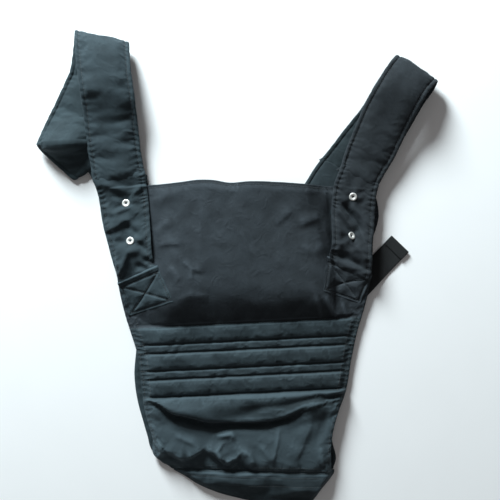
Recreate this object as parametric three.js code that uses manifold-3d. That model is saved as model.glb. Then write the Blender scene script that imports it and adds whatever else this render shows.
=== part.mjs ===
// A cloth front carrier laid flat on its back: a body panel with a quilted middle band and a gathered seat,
// two padded shoulder loops that are held to the panel's wings by press studs, a waistband and a webbing end.
// Millimetres, +X to the object's right as seen from above, +Y towards the shoulder loops, +Z up.
// The origin is on the surface it lies on, under the middle of its outline.
import * as THREE from 'three';
import { mergeVertices } from 'three/addons/utils/BufferGeometryUtils.js';
import Module from 'manifold-3d';

const { smoothstep, lerp, clamp } = THREE.MathUtils;

// ---- driving dimensions ----
const CLOTH = 0.9; // one layer of twill
const GAP = 0.3; // air kept between neighbouring layers
const STRAP_PAD = 3.4; // foam inside a shoulder loop
const BIB_PAD = 4.0; // wadding inside the upper panel
const QUILT_FOAM = 6.0; // foam strips in the wide channels
const WEBBING = { width: 37, thick: 1.6 };
const WIDE_CHANNEL = 27;
const NARROW_CHANNEL = 13.5;
const SEAM_SLOPE = 0.05; // the channels climb a little to the right
const FIRST_SEAM_Y = -79; // where the top channel seam crosses x = 0
const BACK_PANEL = 2.4;
const FLOOR_GAP = 8; // height of the panel's underside over the strap ends and the back panel
const HEM_LIFT = 3; // and at the seat hem, where it closes on the back panel
const HEM_Y = -304;
const SIDE_CASING = 15; // width of the gathered casings beside the channels
const HEM_WIDTH = 12;
const SNAP = { flange: 6.2, barrel: 2.4, eye: 1.2, socket: 6, pierce: 3.1 };
const TURNS = 12; // facets round a press stud

const colours = {
  twill: 0x37424a, lining: 0x454c50, wadding: 0xd9d6cc, foam: 0xc9cbc7, webbing: 0x24272a, nickel: 0xc8c9c4,
};
const surfaces = {
  twill: [0.82, 0], lining: [0.9, 0], wadding: [0.95, 0], foam: [0.9, 0], webbing: [0.75, 0], nickel: [0.3, 1],
};

const carrier = new THREE.Group();

function add(name, finish, geometry) {
  const [roughness, metalness] = surfaces[finish];
  const material = new THREE.MeshStandardMaterial({ color: colours[finish], roughness, metalness });
  const mesh = new THREE.Mesh(geometry, material);
  mesh.name = name;
  carrier.add(mesh);
  return mesh;
}

// ---- curves in plan ----
// A smooth function of one number through hand-placed [at, value] pairs, held flat past its ends.
function through(pairs) {
  const slope = (i) => {
    const a = pairs[Math.max(i - 1, 0)];
    const b = pairs[Math.min(i + 1, pairs.length - 1)];
    return (b[1] - a[1]) / (b[0] - a[0]);
  };
  return (at) => {
    const t = clamp(at, pairs[0][0], pairs[pairs.length - 1][0]);
    let i = 0;
    while (i < pairs.length - 2 && t > pairs[i + 1][0]) i += 1;
    const [x0, y0] = pairs[i];
    const [x1, y1] = pairs[i + 1];
    const w = x1 - x0;
    const s = (t - x0) / w;
    const h = s * s * (3 - 2 * s);
    return lerp(y0, y1, h) + w * s * (1 - s) * ((1 - s) * slope(i) - s * slope(i + 1));
  };
}

const panelLeft = through([
  [-304, -97], [-287, -124], [-257, -130], [-218, -141], [-188, -146], [-157, -149], [-120, -155], [-92, -164],
  [-55, -175], [-7, -185], [35, -188], [76, -198], [130, -201],
]);
const panelRight = through([
  [-304, 146], [-272, 145], [-241, 149], [-216, 156], [-191, 166], [-129, 178], [-92, 186], [-55, 197],
  [-4, 208], [44, 209], [89, 219], [117, 213], [130, 206],
]);
const bibTop = through([[-200, 128], [-138, 134], [-57, 142], [-26, 143], [43, 137], [105, 134], [205, 128]]);
const backLeft = through([
  [-303, -98], [-288, -119], [-278, -130], [-253, -139], [-229, -146], [-204, -153], [-160, -159], [-118, -154],
]);
const backRight = through([[-303, 150], [-290, 154], [-265, 148], [-230, 143], [-118, 148]]);

const hemY = (x) => HEM_Y - 0.02 * (x + 58);

// ---- the shape the panel lies in ----
// It lies level except for the seat, which is gathered into two folds that run along the seams.
const level = (y) => (x) => y + SEAM_SLOPE * x;
const SEAT_FOLDS = [
  [-285, HEM_LIFT], [-272, 10], [-258, 20], [-240, 12], [-226, 25], [-212, 24], [-196, FLOOR_GAP],
];

function liftOf(x, y) {
  const at = y - SEAM_SLOPE * x;
  const next = SEAT_FOLDS.findIndex(([foldY]) => foldY > at);
  if (next === 0) return HEM_LIFT;
  if (next < 0) return FLOOR_GAP;
  const [y0, z0] = SEAT_FOLDS[next - 1];
  const [y1, z1] = SEAT_FOLDS[next];
  return lerp(z0, z1, (at - y0) / (y1 - y0));
}

// ---- solids ----
// A unit box with its own grid, carried onto a surface: place(u, v, w) with u and v from 0 to 1 and w from -0.5 to 0.5.
function formed(across, along, place) {
  const box = new THREE.BoxGeometry(1, 1, 1, across, along, 1);
  const at = box.attributes.position;
  for (let i = 0; i < at.count; i += 1) {
    at.setXYZ(i, ...place(at.getX(i) + 0.5, at.getY(i) + 0.5, at.getZ(i)));
  }
  // The underside's squares are split along the same diagonal as the top's, so stacked layers stay parallel.
  const under = box.groups[5];
  const corner = box.index.array;
  for (let i = under.start; i < under.start + under.count; i += 6) {
    const [a, b, d, , c] = corner.slice(i, i + 6);
    corner.set([a, b, c, a, c, d], i);
  }
  box.computeVertexNormals();
  return box;
}

// Lines spaced evenly from one line y(x) to another.
const between = (low, high, count) => Array.from({ length: count + 1 }, (_, i) => (x) => (
  lerp(low(x), high(x), i / count)));

// A layer of the panel: rows are lines y(x) from its lower to its upper edge, left and right are edges x(y), and
// base is the height of its underside above the panel's own.
function panelLayer({ left, right, rows, base, thick, lift = liftOf, across = 8 }) {
  return formed(across, rows.length - 1, (u, v, w) => {
    const row = rows[Math.round(v * (rows.length - 1))];
    let x = 0;
    for (let pass = 0; pass < 6; pass += 1) x = lerp(left(row(x)), right(row(x)), u);
    const y = row(x);
    return [x, y, lift(x, y) + base + (w + 0.5) * thick];
  });
}

// A band through stations of a left and a right edge point, its layer at an offset from the band's middle.
function band(stations, { offset = 0, thick, along = stations.length * 2, across = 2 }) {
  const edges = [0, 1].map((side) => new THREE.CatmullRomCurve3(
    stations.map((s) => new THREE.Vector3(...s[side])), false, 'catmullrom', 0.5));
  const point = (u, v) => edges[0].getPoint(v).lerp(edges[1].getPoint(v), u);
  const step = 1e-3;
  return formed(across, along, (u, v, w) => {
    const side = edges[1].getPoint(v).sub(edges[0].getPoint(v));
    const ahead = point(u, Math.min(v + step, 1)).sub(point(u, Math.max(v - step, 0)));
    const normal = side.cross(ahead).normalize();
    return point(u, v).addScaledVector(normal, offset + w * thick).toArray();
  });
}

// ---- cutting, with manifold-3d ----
const wasm = await Module();
wasm.setup();

function solid(geometry) {
  const bare = geometry.clone();
  bare.deleteAttribute('normal');
  bare.deleteAttribute('uv');
  const merged = mergeVertices(bare, 1e-4);
  return new wasm.Manifold(new wasm.Mesh({
    numProp: 3,
    vertProperties: merged.attributes.position.array,
    triVerts: new Uint32Array(merged.index.array),
  }));
}

function geometryOf(manifold) {
  const mesh = manifold.getMesh();
  const cut = new THREE.BufferGeometry();
  cut.setAttribute('position', new THREE.BufferAttribute(mesh.vertProperties, 3));
  cut.setIndex(new THREE.BufferAttribute(mesh.triVerts, 1));
  return cut;
}

function upright(outline) {
  return new THREE.ExtrudeGeometry(new THREE.Shape(outline.map((p) => new THREE.Vector2(...p))), {
    depth: 120, bevelEnabled: false,
  }).translate(0, 0, -20);
}

const cutAway = (geometry, ...tools) => geometryOf(
  tools.reduce((rest, tool) => rest.subtract(solid(tool)), solid(geometry)));

// ---- press studs: where they sit ----
const studs = {
  left_upper: [-170, 106], left_lower: [-163, 48], right_upper: [178, 115], right_lower: [177, 56],
};
const piercings = (names) => names.map((name) => new THREE.CylinderGeometry(SNAP.pierce, SNAP.pierce, 120, TURNS)
  .rotateX(Math.PI / 2).translate(...studs[name], 20));

// ---- the anchor patches and what passes behind them ----
// Each patch: its hem from the outer to the inner end, then its lower inner and outer corners.
const patches = {
  left: { outer: [-185, -8], inner: [-122, 20], lowInner: [-98, -46], lowOuter: [-170, -72] },
  right: { outer: [209, -5], inner: [141, 20], lowInner: [131, -30], lowOuter: [194, -55] },
};
const HEM_TO_WING = 20; // the slit between a patch's hem and the wing above it

// Height above a patch's hem line, measured square to it.
function aboveHem({ outer, inner }, x, y) {
  const run = new THREE.Vector2(inner[0] - outer[0], inner[1] - outer[1]).normalize();
  const side = Math.sign(run.x);
  return side * (run.x * (y - outer[1]) - run.y * (x - outer[0]));
}

function patchCut({ outer, inner, lowInner, lowOuter }) {
  const past = Math.sign(outer[0]) * 40;
  const outline = [
    [outer[0] + past, outer[1] - past * (inner[1] - outer[1]) / (outer[0] - inner[0]) + HEM_TO_WING],
    [inner[0] - Math.sign(past), inner[1] + HEM_TO_WING],
    [lowInner[0] - Math.sign(past), lowInner[1]],
    [lowOuter[0], lowOuter[1] - 1],
    [lowOuter[0] + past, lowOuter[1] - 1],
  ];
  return upright(outline);
}

function anchorPatch({ outer, inner, lowInner, lowOuter }) {
  const corners = outer[0] < 0 ? [outer, inner, lowInner, lowOuter] : [inner, outer, lowOuter, lowInner];
  return formed(2, 2, (u, v, w) => {
    const top = corners[0].map((c, k) => lerp(c, corners[1][k], u));
    const low = corners[3].map((c, k) => lerp(c, corners[2][k], u));
    const [x, y] = low.map((c, k) => lerp(c, top[k], v));
    return [x, y, FLOOR_GAP + above.bib + (w + 0.5) * CLOTH];
  });
}

// ---- heights of the layers above the panel's underside ----
const above = {};
above.padding = CLOTH + GAP;
above.bib = above.padding + BIB_PAD + GAP;
above.quilt = above.padding + QUILT_FOAM + GAP;
above.seat = CLOTH + GAP;
above.socket = above.bib + CLOTH + GAP;
above.stud = above.socket + 2.2 + GAP;
above.tabLining = above.stud + 0.6 + GAP;
above.tab = above.tabLining + CLOTH + GAP;
above.eyelet = above.tab + CLOTH + GAP;
const TUCKED = CLOTH + GAP; // where a tab lies under its patch

// ---- upper panel ----
const firstSeam = level(FIRST_SEAM_Y);
const upper = { left: panelLeft, right: panelRight, rows: between((x) => firstSeam(x) + GAP, bibTop, 8) };
const inset = (edge, by) => (y) => edge(y) + by;
const cuts = () => [patchCut(patches.left), patchCut(patches.right)];
const allStuds = () => piercings(Object.keys(studs));

add('bib_lining', 'lining', cutAway(panelLayer({ ...upper, base: 0, thick: CLOTH }), ...allStuds()));
add('bib_wadding', 'wadding', cutAway(panelLayer({
  ...upper, left: inset(panelLeft, 6), right: inset(panelRight, -6), base: above.padding, thick: BIB_PAD,
  rows: between((x) => firstSeam(x) + 2, (x) => bibTop(x) - 6, 8),
}), ...cuts(), ...allStuds()));
add('bib_face', 'twill', cutAway(panelLayer({ ...upper, base: above.bib, thick: CLOTH }), ...cuts(), ...allStuds()));
add('bib_top_hem', 'twill', panelLayer({
  left: () => -126, right: () => 136, rows: [(x) => bibTop(x) - 8, bibTop], base: above.socket, thick: CLOTH,
}));

// The rolled edge along a patch's hem lies on the patch.
const ROLL = 2.2;
function rolledEdge({ outer, inner }) {
  const length = Math.hypot(inner[0] - outer[0], inner[1] - outer[1]) - 2;
  const turn = Math.atan2(inner[1] - outer[1], inner[0] - outer[0]);
  return new THREE.CylinderGeometry(ROLL, ROLL, length, 10)
    .rotateZ(turn - Math.PI / 2)
    .translate((outer[0] + inner[0]) / 2, (outer[1] + inner[1]) / 2 - 4, FLOOR_GAP + above.socket + ROLL);
}
for (const [side, patch] of Object.entries(patches)) {
  add(`${side}_anchor_patch`, 'twill', anchorPatch(patch));
  add(`${side}_patch_rolled_edge`, 'twill', rolledEdge(patch));
}

// ---- shoulder straps ----
// Each fold line crosses a strap where its padded loop meets the press-stud tab: a point on it and its direction.
const foldLines = {
  left: { at: [-179.8, 145.5], along: [0.9915, 0.1301] },
  right: { at: [182.9, 149.6], along: [0.878, -0.4787] },
};
const HINGE_GAP = 0.8; // kept clear on the panel's side of a fold line
const onFold = ({ at, along }, x, z, back = 0) => {
  const t = (x - at[0]) / along[0];
  return [x + back * along[1], at[1] + t * along[1] - back * along[0], z];
};
const TAB_MIDDLE = FLOOR_GAP + above.tab - GAP / 2; // the tab's middle where it lies level
const SKIN = STRAP_PAD / 2 + GAP + CLOTH / 2; // how far a strap's skins lie from its middle
const TAIL_MIDDLE = SKIN + CLOTH / 2; // a strap's middle where it lies on the ground

const loops = {
  left: [
    [onFold(foldLines.left, -221, TAB_MIDDLE), onFold(foldLines.left, -139.5, TAB_MIDDLE)],
    [[-229, 187, 21], [-146.5, 187, 21]],
    [[-236, 250, 26], [-153, 248, 26]],
    [[-241, 300, 29], [-157.5, 292, 29]],
    [[-246, 345, 26], [-162, 330, 26]],
    [[-248.5, 369, 15], [-164, 349, 15]], // folds over at the shoulder
    [[-251, 350, 4.5], [-167, 330, 4.5]],
    [[-262, 310, TAIL_MIDDLE], [-177, 284, TAIL_MIDDLE]],
    [[-283, 256, TAIL_MIDDLE], [-203, 229, TAIL_MIDDLE]],
    [[-299, 214, 5], [-225, 190, TAIL_MIDDLE]],
    [[-308, 193, 9], [-224, 180, 5]], // bunches up, lower left
    [[-290, 172, 10], [-213, 174, 6]],
    [[-258, 150, 6], [-185, 170, 4]],
    [[-232, 141.5, TAIL_MIDDLE], [-155, 163, TAIL_MIDDLE]],
    [onFold(foldLines.left, -221, TAIL_MIDDLE), onFold(foldLines.left, -139.5, TAIL_MIDDLE)],
  ],
  right: [
    [onFold(foldLines.right, 159, TAB_MIDDLE), onFold(foldLines.right, 216.5, TAB_MIDDLE)],
    [[170, 196, 21], [240, 172.5, 21]],
    [[181, 225, 23], [254, 203, 23]],
    [[194, 255, 25], [267, 226, 25]],
    [[213.5, 291, 26], [284, 261, 26]],
    [[231.5, 319, 22], [297, 284, 22]],
    [[243, 332, 13], [308, 289, 13]], // folds over at the shoulder
    [[234, 321, 4.4], [302, 277, 4.4]],
    [[213, 288, TAIL_MIDDLE], [284, 252, TAIL_MIDDLE]],
    [[190.5, 254, TAIL_MIDDLE], [262, 216, TAIL_MIDDLE]],
    [[159.5, 213, TAIL_MIDDLE], [226, 166, TAIL_MIDDLE]],
    [onFold(foldLines.right, 132, TAIL_MIDDLE), onFold(foldLines.right, 198.5, TAIL_MIDDLE)],
  ],
};
const tails = {
  left: [
    [onFold(foldLines.left, -221, TAIL_MIDDLE, HINGE_GAP), onFold(foldLines.left, -139.5, TAIL_MIDDLE, HINGE_GAP)],
    [[-209, 95, TAIL_MIDDLE], [-130, 108, TAIL_MIDDLE]],
    [[-197, 50, TAIL_MIDDLE], [-119, 69, TAIL_MIDDLE]],
  ],
  right: [
    [onFold(foldLines.right, 132, TAIL_MIDDLE, HINGE_GAP), onFold(foldLines.right, 198.5, TAIL_MIDDLE, HINGE_GAP)],
    [[112, 148, TAIL_MIDDLE], [178, 109, TAIL_MIDDLE]],
    [[91.5, 120, TAIL_MIDDLE], [156.5, 78, TAIL_MIDDLE]],
  ],
};
for (const side of ['left', 'right']) {
  const run = { along: 2 * (loops[side].length - 1) };
  add(`${side}_strap_face`, 'twill', band(loops[side], { ...run, offset: SKIN, thick: CLOTH }));
  add(`${side}_strap_foam`, 'foam', band(loops[side], { ...run, thick: STRAP_PAD }));
  add(`${side}_strap_lining`, 'lining', band(loops[side], { ...run, offset: -SKIN, thick: CLOTH }));
  add(`${side}_strap_back_end`, 'twill', band(tails[side], { along: 4, thick: 2 * TAIL_MIDDLE }));
}

// ---- press-stud tabs: they lie over the wings, dive through the slit and end under the patches ----
const tabEdges = {
  left: {
    outer: [[-172, -45], [-183, -9.5], [-196, 35], [-207, 77], [-213, 116]],
    inner: [[-112, -22], [-126, 23], [-131, 63], [-134, 104], [-137, 128]],
  },
  right: {
    inner: [[150, -18], [144, 22], [146, 46], [145.5, 92], [146, 113]],
    outer: [[193, -40], [206, -6], [209, 41], [212, 79], [214, 112]],
  },
};

function tab(side, base) {
  const patch = patches[side];
  const fold = foldLines[side];
  const rows = tabEdges[side].outer.map((p, i) => [p, tabEdges[side].inner[i]]);
  if (side === 'right') rows.forEach((row) => row.reverse());
  const first = loops[side][0].map((p) => onFold(fold, p[0], 0, HINGE_GAP));
  const edges = [0, 1].map((k) => new THREE.SplineCurve(
    [...rows.map((row) => row[k]), first[k].slice(0, 2)].map((p) => new THREE.Vector2(...p))));
  const depth = base - above.tabLining;
  return formed(3, 16, (u, v, w) => {
    const at = edges[0].getPoint(v).lerp(edges[1].getPoint(v), u);
    const onTop = smoothstep(aboveHem(patch, at.x, at.y), 0, 30);
    const under = lerp(TUCKED, above.tabLining, onTop) + depth;
    return [at.x, at.y, FLOOR_GAP + under + (w + 0.5) * CLOTH];
  });
}

for (const side of ['left', 'right']) {
  const holes = () => piercings([`${side}_upper`, `${side}_lower`]);
  add(`${side}_tab_face`, 'twill', cutAway(tab(side, above.tab), ...holes()));
  add(`${side}_tab_lining`, 'lining', cutAway(tab(side, above.tabLining), ...holes()));
}

// ---- press studs ----
// Each is an eyelet and a stud on the tab, clinched to each other, over a socket and a cap clinched through the wing.
const ring = (profile) => new THREE.LatheGeometry(
  [...profile, profile[0]].map((p) => new THREE.Vector2(...p)), TURNS).rotateX(Math.PI / 2);

function pressStud(name, [x, y]) {
  const place = (part, profile, height) => add(`${name}_${part}`, 'nickel',
    ring(profile).translate(x, y, FLOOR_GAP + height));
  const { flange, barrel, eye, socket } = SNAP;
  const through2 = above.eyelet - above.stud - 0.6;
  place('eyelet', [
    [eye, -through2], [barrel, -through2], [barrel, 0], [flange, 0], [flange, 0.35], [flange - 1.2, 0.9], [eye, 0.6],
  ], above.eyelet);
  place('stud', [
    [0.9, -1.9], [1.7, -2.1], [2.3, -1.5], [2.0, 0], [5.2, 0], [5.2, 0.6 - GAP], [0.9, 0.6 - GAP],
  ], above.stud);
  place('socket', [
    [2.6, 0], [socket, 0], [socket, 0.9], [4.4, 2.2], [2.6, 2.2],
  ], above.socket);
  const stack = above.socket + 0.1;
  place('cap', [
    [1.0, -0.9], [flange, -0.9], [flange, 0], [2.2, 0], [2.2, stack], [1.0, stack],
  ], -GAP);
}
for (const [name, at] of Object.entries(studs)) pressStud(name, at);

// ---- quilted band ----
// Six seams make three wide channels, each with a foam strip, and two narrow ones between them.
const sides = { left: panelLeft, right: panelRight };
const steps = [WIDE_CHANNEL, NARROW_CHANNEL, WIDE_CHANNEL, NARROW_CHANNEL, WIDE_CHANNEL];
const seams = steps.reduce((list, step) => [...list, list[list.length - 1] - step], [FIRST_SEAM_Y]);
const lastSeam = level(seams[5]);
const PUFF = 4.5; // distance from a seam to the full height of its channel
const quiltRows = [[seams[5], 0], [seams[5] + PUFF, 1]];
for (const i of [4, 3, 2, 1]) {
  const below = i % 2 ? 0.5 : 1;
  const overIt = i % 2 ? 1 : 0.5;
  quiltRows.push([seams[i] - PUFF, below], [seams[i], 0], [seams[i] + PUFF, overIt]);
}
quiltRows.push([seams[0] - PUFF, 1], [seams[0], 0]);

function quiltLift(x, y) {
  const at = y - SEAM_SLOPE * x;
  const [, puff] = quiltRows.reduce((near, row) => (Math.abs(row[0] - at) < Math.abs(near[0] - at) ? row : near));
  return FLOOR_GAP + lerp(above.padding, above.quilt, puff);
}

add('quilt_face', 'twill', panelLayer({
  ...sides, rows: quiltRows.map(([y]) => level(y)), base: 0, thick: CLOTH, lift: quiltLift, across: 6,
}));
['upper', 'middle', 'lower'].forEach((name, i) => add(`${name}_quilt_foam`, 'foam', panelLayer({
  left: inset(panelLeft, SIDE_CASING), right: inset(panelRight, -SIDE_CASING),
  rows: [level(seams[2 * i + 1] + PUFF + GAP), level(seams[2 * i] - PUFF - GAP)],
  base: above.padding, thick: QUILT_FOAM, across: 4,
})));
const casings = {
  left: { left: panelLeft, right: inset(panelLeft, SIDE_CASING) },
  right: { left: inset(panelRight, -SIDE_CASING), right: panelRight },
};
for (const [side, strip] of Object.entries(casings)) {
  add(`${side}_side_casing`, 'twill', panelLayer({
    ...strip, rows: between(lastSeam, firstSeam, 6), base: above.quilt + CLOTH + GAP, thick: CLOTH, across: 1,
  }));
}

// ---- seat ----
const seatRows = [hemY, ...SEAT_FOLDS.map(([y]) => level(y))];
add('seat_lining', 'lining', panelLayer({
  ...sides, rows: [...seatRows, ...between(level(seams[5]), firstSeam, 3)], base: 0, thick: CLOTH,
}));
add('seat_face', 'twill', panelLayer({
  ...sides, rows: [...seatRows, (x) => lastSeam(x) - GAP], base: above.seat, thick: CLOTH,
}));
add('seat_hem', 'twill', panelLayer({
  left: () => -58, right: () => 143, rows: [hemY, (x) => hemY(x) + HEM_WIDTH], base: above.seat + CLOTH + GAP,
  thick: CLOTH,
}));
add('back_panel', 'lining', panelLayer({
  left: backLeft, right: backRight, rows: between(hemY, () => -118, 8), base: 0, thick: BACK_PANEL, lift: () => 0,
  across: 2,
}));

// ---- waistband ----
// It hangs from the seat hem: its upper edge is straight and its lower edge sweeps down to a blunt point.
const waistLow = through([
  [-96, -308], [-80, -316], [-63, -328], [-34, -340], [12, -352.5], [59, -363], [98, -370], [112, -362],
  [127, -340], [138, -328], [147, -316], [153, -309],
]);
const waist = {
  left: () => -96, right: () => 153, rows: [waistLow, (x) => hemY(x) - 1], lift: () => 0, across: 20,
};
const WAIST_PAD = 3;
add('waistband_lining', 'lining', panelLayer({ ...waist, base: 0, thick: CLOTH }));
add('waistband_foam', 'foam', panelLayer({ ...waist, base: CLOTH + GAP, thick: WAIST_PAD }));
add('waistband_face', 'twill', panelLayer({ ...waist, base: CLOTH + WAIST_PAD + 2 * GAP, thick: CLOTH }));

// ---- webbing ----
// It is sewn behind the right patch, drops to the surface past the panel's edge and ends free.
const webbingRun = new THREE.Vector2(0.692, 0.722);
const WEBBING_FOLD = [224.8, 14.2]; // the middle of the line it folds at
const WEBBING_FREE = 40;
const webbingStation = (along, z) => {
  const middle = new THREE.Vector2(...WEBBING_FOLD).addScaledVector(webbingRun, along);
  const side = new THREE.Vector2(-webbingRun.y, webbingRun.x).multiplyScalar(WEBBING.width / 2);
  return [[middle.x + side.x, middle.y + side.y, z], [middle.x - side.x, middle.y - side.y, z]];
};
const lying = WEBBING.thick / 2;
add('webbing_root', 'webbing', band(
  [[-100, 6.6], [-75, 6.6], [-45, 6.4], [-25, 2.6], [-HINGE_GAP, lying]].map((s) => webbingStation(...s)),
  { thick: WEBBING.thick, along: 10 }));
add('webbing_end', 'webbing', band(
  [[0, lying], [WEBBING_FREE / 2, lying], [WEBBING_FREE, lying]].map((s) => webbingStation(...s)),
  { thick: WEBBING.thick, along: 4 }));
add('webbing_end_turn', 'webbing', band(
  [[WEBBING_FREE - 14, lying + WEBBING.thick + GAP], [WEBBING_FREE, lying + WEBBING.thick + GAP]]
    .map((s) => webbingStation(...s)),
  { thick: WEBBING.thick, along: 2 }));

export default carrier;
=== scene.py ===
"""A cloth front carrier laid flat on its back and seen from straight above.

Shapes are worked out in millimetres in the row frame (+X right, +Y towards the shoulder loops, +Z up) and
become metres when a mesh is made. Each cloth piece starts as a grid shaped by given curves. The front, the
loops, the tabs and the waistband are settled by a short cloth simulation that lets them pucker between their
seams.
"""

import math

import bmesh
import bpy
import numpy as np
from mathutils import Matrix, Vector
from mathutils.bvhtree import BVHTree


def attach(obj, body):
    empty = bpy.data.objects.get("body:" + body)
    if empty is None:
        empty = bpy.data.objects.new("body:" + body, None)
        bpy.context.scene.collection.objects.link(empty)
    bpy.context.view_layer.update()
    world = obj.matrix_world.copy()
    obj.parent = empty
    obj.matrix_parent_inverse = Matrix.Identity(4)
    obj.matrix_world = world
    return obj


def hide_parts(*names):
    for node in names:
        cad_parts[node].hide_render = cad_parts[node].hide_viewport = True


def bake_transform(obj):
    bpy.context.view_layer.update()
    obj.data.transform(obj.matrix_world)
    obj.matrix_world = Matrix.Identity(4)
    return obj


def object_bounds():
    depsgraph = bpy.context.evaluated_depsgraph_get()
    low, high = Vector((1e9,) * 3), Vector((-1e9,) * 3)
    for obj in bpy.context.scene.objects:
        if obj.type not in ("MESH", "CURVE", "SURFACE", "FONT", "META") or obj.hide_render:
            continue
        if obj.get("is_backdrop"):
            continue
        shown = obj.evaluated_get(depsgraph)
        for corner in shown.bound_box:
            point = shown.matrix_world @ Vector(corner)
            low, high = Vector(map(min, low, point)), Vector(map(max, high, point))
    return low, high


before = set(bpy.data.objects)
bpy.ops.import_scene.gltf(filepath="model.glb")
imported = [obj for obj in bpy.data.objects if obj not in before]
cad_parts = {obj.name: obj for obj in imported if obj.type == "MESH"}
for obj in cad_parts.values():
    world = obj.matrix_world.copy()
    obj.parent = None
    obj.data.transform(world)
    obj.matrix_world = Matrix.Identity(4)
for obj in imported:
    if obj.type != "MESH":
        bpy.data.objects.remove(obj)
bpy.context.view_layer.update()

MM = 0.001
CAMERA_HEIGHT = 1.5
VIEW_WIDTH = 0.775  # what the camera sees across, on the ground
VIEW_CENTRE = (0.0205, 0.034)
SENSOR_WIDTH = 36

# ---- driving dimensions, as in the part ----
SEAM_SLOPE = 0.05
FIRST_SEAM_Y = -79.0
WIDE_CHANNEL = 27.0
NARROW_CHANNEL = 13.5
HEM_Y = -304.0
STITCH_INSET = 7.0  # from a strap's edge to its edge stitching
STITCH = {"length": 2.7, "pitch": 4.0, "radius": 0.42}
CLOTH_UNIT = 100  # millimetres of cloth to one unit of its texture coordinates
GROUND_CLEARANCE = 0.3


# ---------------------------------------------------------------- curves and small maths
def smoothstep(x, low, high):
    """0 at low, 1 at high, easing in and out; low may be the larger."""
    t = np.clip((x - low) / (high - low), 0, 1)
    return t * t * (3 - 2 * t)


def lerp(a, b, t):
    return a + (b - a) * t


def hump(x, middle, width):
    """1 at the middle, falling to 0 on both sides."""
    return np.exp(-(((x - middle) / width) ** 2))


def through(pairs):
    """A smooth function through given (at, value) pairs, held flat past its ends."""
    at = np.array([p[0] for p in pairs], float)
    value = np.array([p[1] for p in pairs], float)
    slope = np.gradient(value, at)
    slope[0] = (value[1] - value[0]) / (at[1] - at[0])
    slope[-1] = (value[-1] - value[-2]) / (at[-1] - at[-2])

    def curve(x):
        x = np.clip(np.asarray(x, float), at[0], at[-1])
        i = np.clip(np.searchsorted(at, x, side="right") - 1, 0, len(at) - 2)
        w = at[i + 1] - at[i]
        s = (x - at[i]) / w
        h = s * s * (3 - 2 * s)
        bow = w * s * (1 - s) * ((1 - s) * slope[i] - s * slope[i + 1])
        return lerp(value[i], value[i + 1], h) + bow

    return curve


def path_points(stations, count):
    """count points on a Catmull-Rom curve through the stations."""
    p = np.array(stations, float)
    p = np.vstack([2 * p[0] - p[1], p, 2 * p[-1] - p[-2]])
    t = np.linspace(0, len(p) - 3 - 1e-9, count)
    i = t.astype(int)
    s = (t - i)[:, None]
    a, b, c, d = p[i], p[i + 1], p[i + 2], p[i + 3]
    return 0.5 * (2 * b + (c - a) * s + (2 * a - 5 * b + 4 * c - d) * s**2 + (3 * b - a - 3 * c + d) * s**3)


def ripple(x, y, size, seed):
    """Smooth noise from -1 to 1 with features about size across: a few crossed waves."""
    rng = np.random.default_rng(seed)
    total = np.zeros(np.broadcast(x, y).shape)
    for _ in range(7):
        angle, phase = rng.uniform(0, 2 * math.pi, 2)
        wave = size * rng.uniform(0.7, 1.6)
        total = total + np.sin((x * math.cos(angle) + y * math.sin(angle)) * 2 * math.pi / wave + phase)
    return total / 3.2


def creases(x, y, size, seed):
    """Narrow wandering ridges from 0 to 1, in patches: they stand where a smooth noise crosses zero."""
    bent = x + 0.3 * size * ripple(x, y, 2.2 * size, seed + 50)
    patchy = smoothstep(ripple(x, y, 2.5 * size, seed + 90), -0.3, 0.8)
    return hump(ripple(bent, y, size, seed), 0, 0.3) * patchy


def ridge(x, y, path, height, before, after=None):
    """A fold along a path: before and after are its widths to the left and the right of the way it runs."""
    after = before if after is None else after
    nearest = np.full(x.shape, 1e9)
    side = np.zeros(x.shape)
    along = np.zeros(x.shape)
    lengths = [math.dist(a, b) for a, b in zip(path, path[1:])]
    run = 0.0
    for (ax, ay), (bx, by), length in zip(path, path[1:], lengths):
        dx, dy = (bx - ax) / length, (by - ay) / length
        t = np.clip((x - ax) * dx + (y - ay) * dy, 0, length)
        away = np.hypot(x - ax - t * dx, y - ay - t * dy)
        cross = dx * (y - ay) - dy * (x - ax)
        closer = away < nearest
        nearest = np.where(closer, away, nearest)
        side = np.where(closer, cross, side)
        along = np.where(closer, run + t, along)
        run += length
    width = np.where(side > 0, before, after)
    ramp = smoothstep(along, -1, 0.3 * run) * (1 - smoothstep(along, 0.7 * run, run + 1))
    return height * hump(nearest, 0, width) * (0.15 + 0.85 * ramp)


# ---------------------------------------------------------------- outlines
panel_left = through([
    (-304, -97), (-287, -124), (-257, -130), (-218, -141), (-188, -146), (-157, -149), (-120, -155),
    (-92, -164), (-55, -175), (-7, -184), (35, -187), (76, -196), (130, -198),
])  # fmt: skip
panel_right = through([
    (-304, 146), (-272, 145), (-241, 149), (-216, 156), (-191, 166), (-129, 178), (-92, 186), (-55, 197),
    (-4, 207), (44, 208), (89, 218.5), (117, 213), (130, 205),
])  # fmt: skip
bib_top = through([
    (-200, 128), (-138, 133), (-90, 138), (-57, 142), (-36, 141.5), (-12, 137.5), (20, 139.5), (43, 139),
    (105, 135), (205, 127),
])  # fmt: skip
back_left = through([
    (-303, -98), (-288, -119), (-278, -130), (-253, -139), (-229, -146), (-204, -153), (-160, -159),
    (-118, -156),
])  # fmt: skip
back_right = through([(-303, 150), (-290, 154), (-265, 149), (-230, 143), (-118, 146)])
crevice = through([
    (-160, -196), (-123, -206), (-99, -219), (-77, -225), (-48, -233), (-8, -233), (22, -232.5), (55, -229),
    (85, -220), (110, -210), (160, -196),
])  # fmt: skip
scallop = through([
    (-128, -290), (-99, -281), (-82, -290), (-65, -285), (-48, -276), (-33, -281), (-20, -296), (-3, -292),
    (14, -301), (29, -307), (41, -312), (53, -316), (70, -320), (100, -322), (150, -322),
])  # fmt: skip
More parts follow.
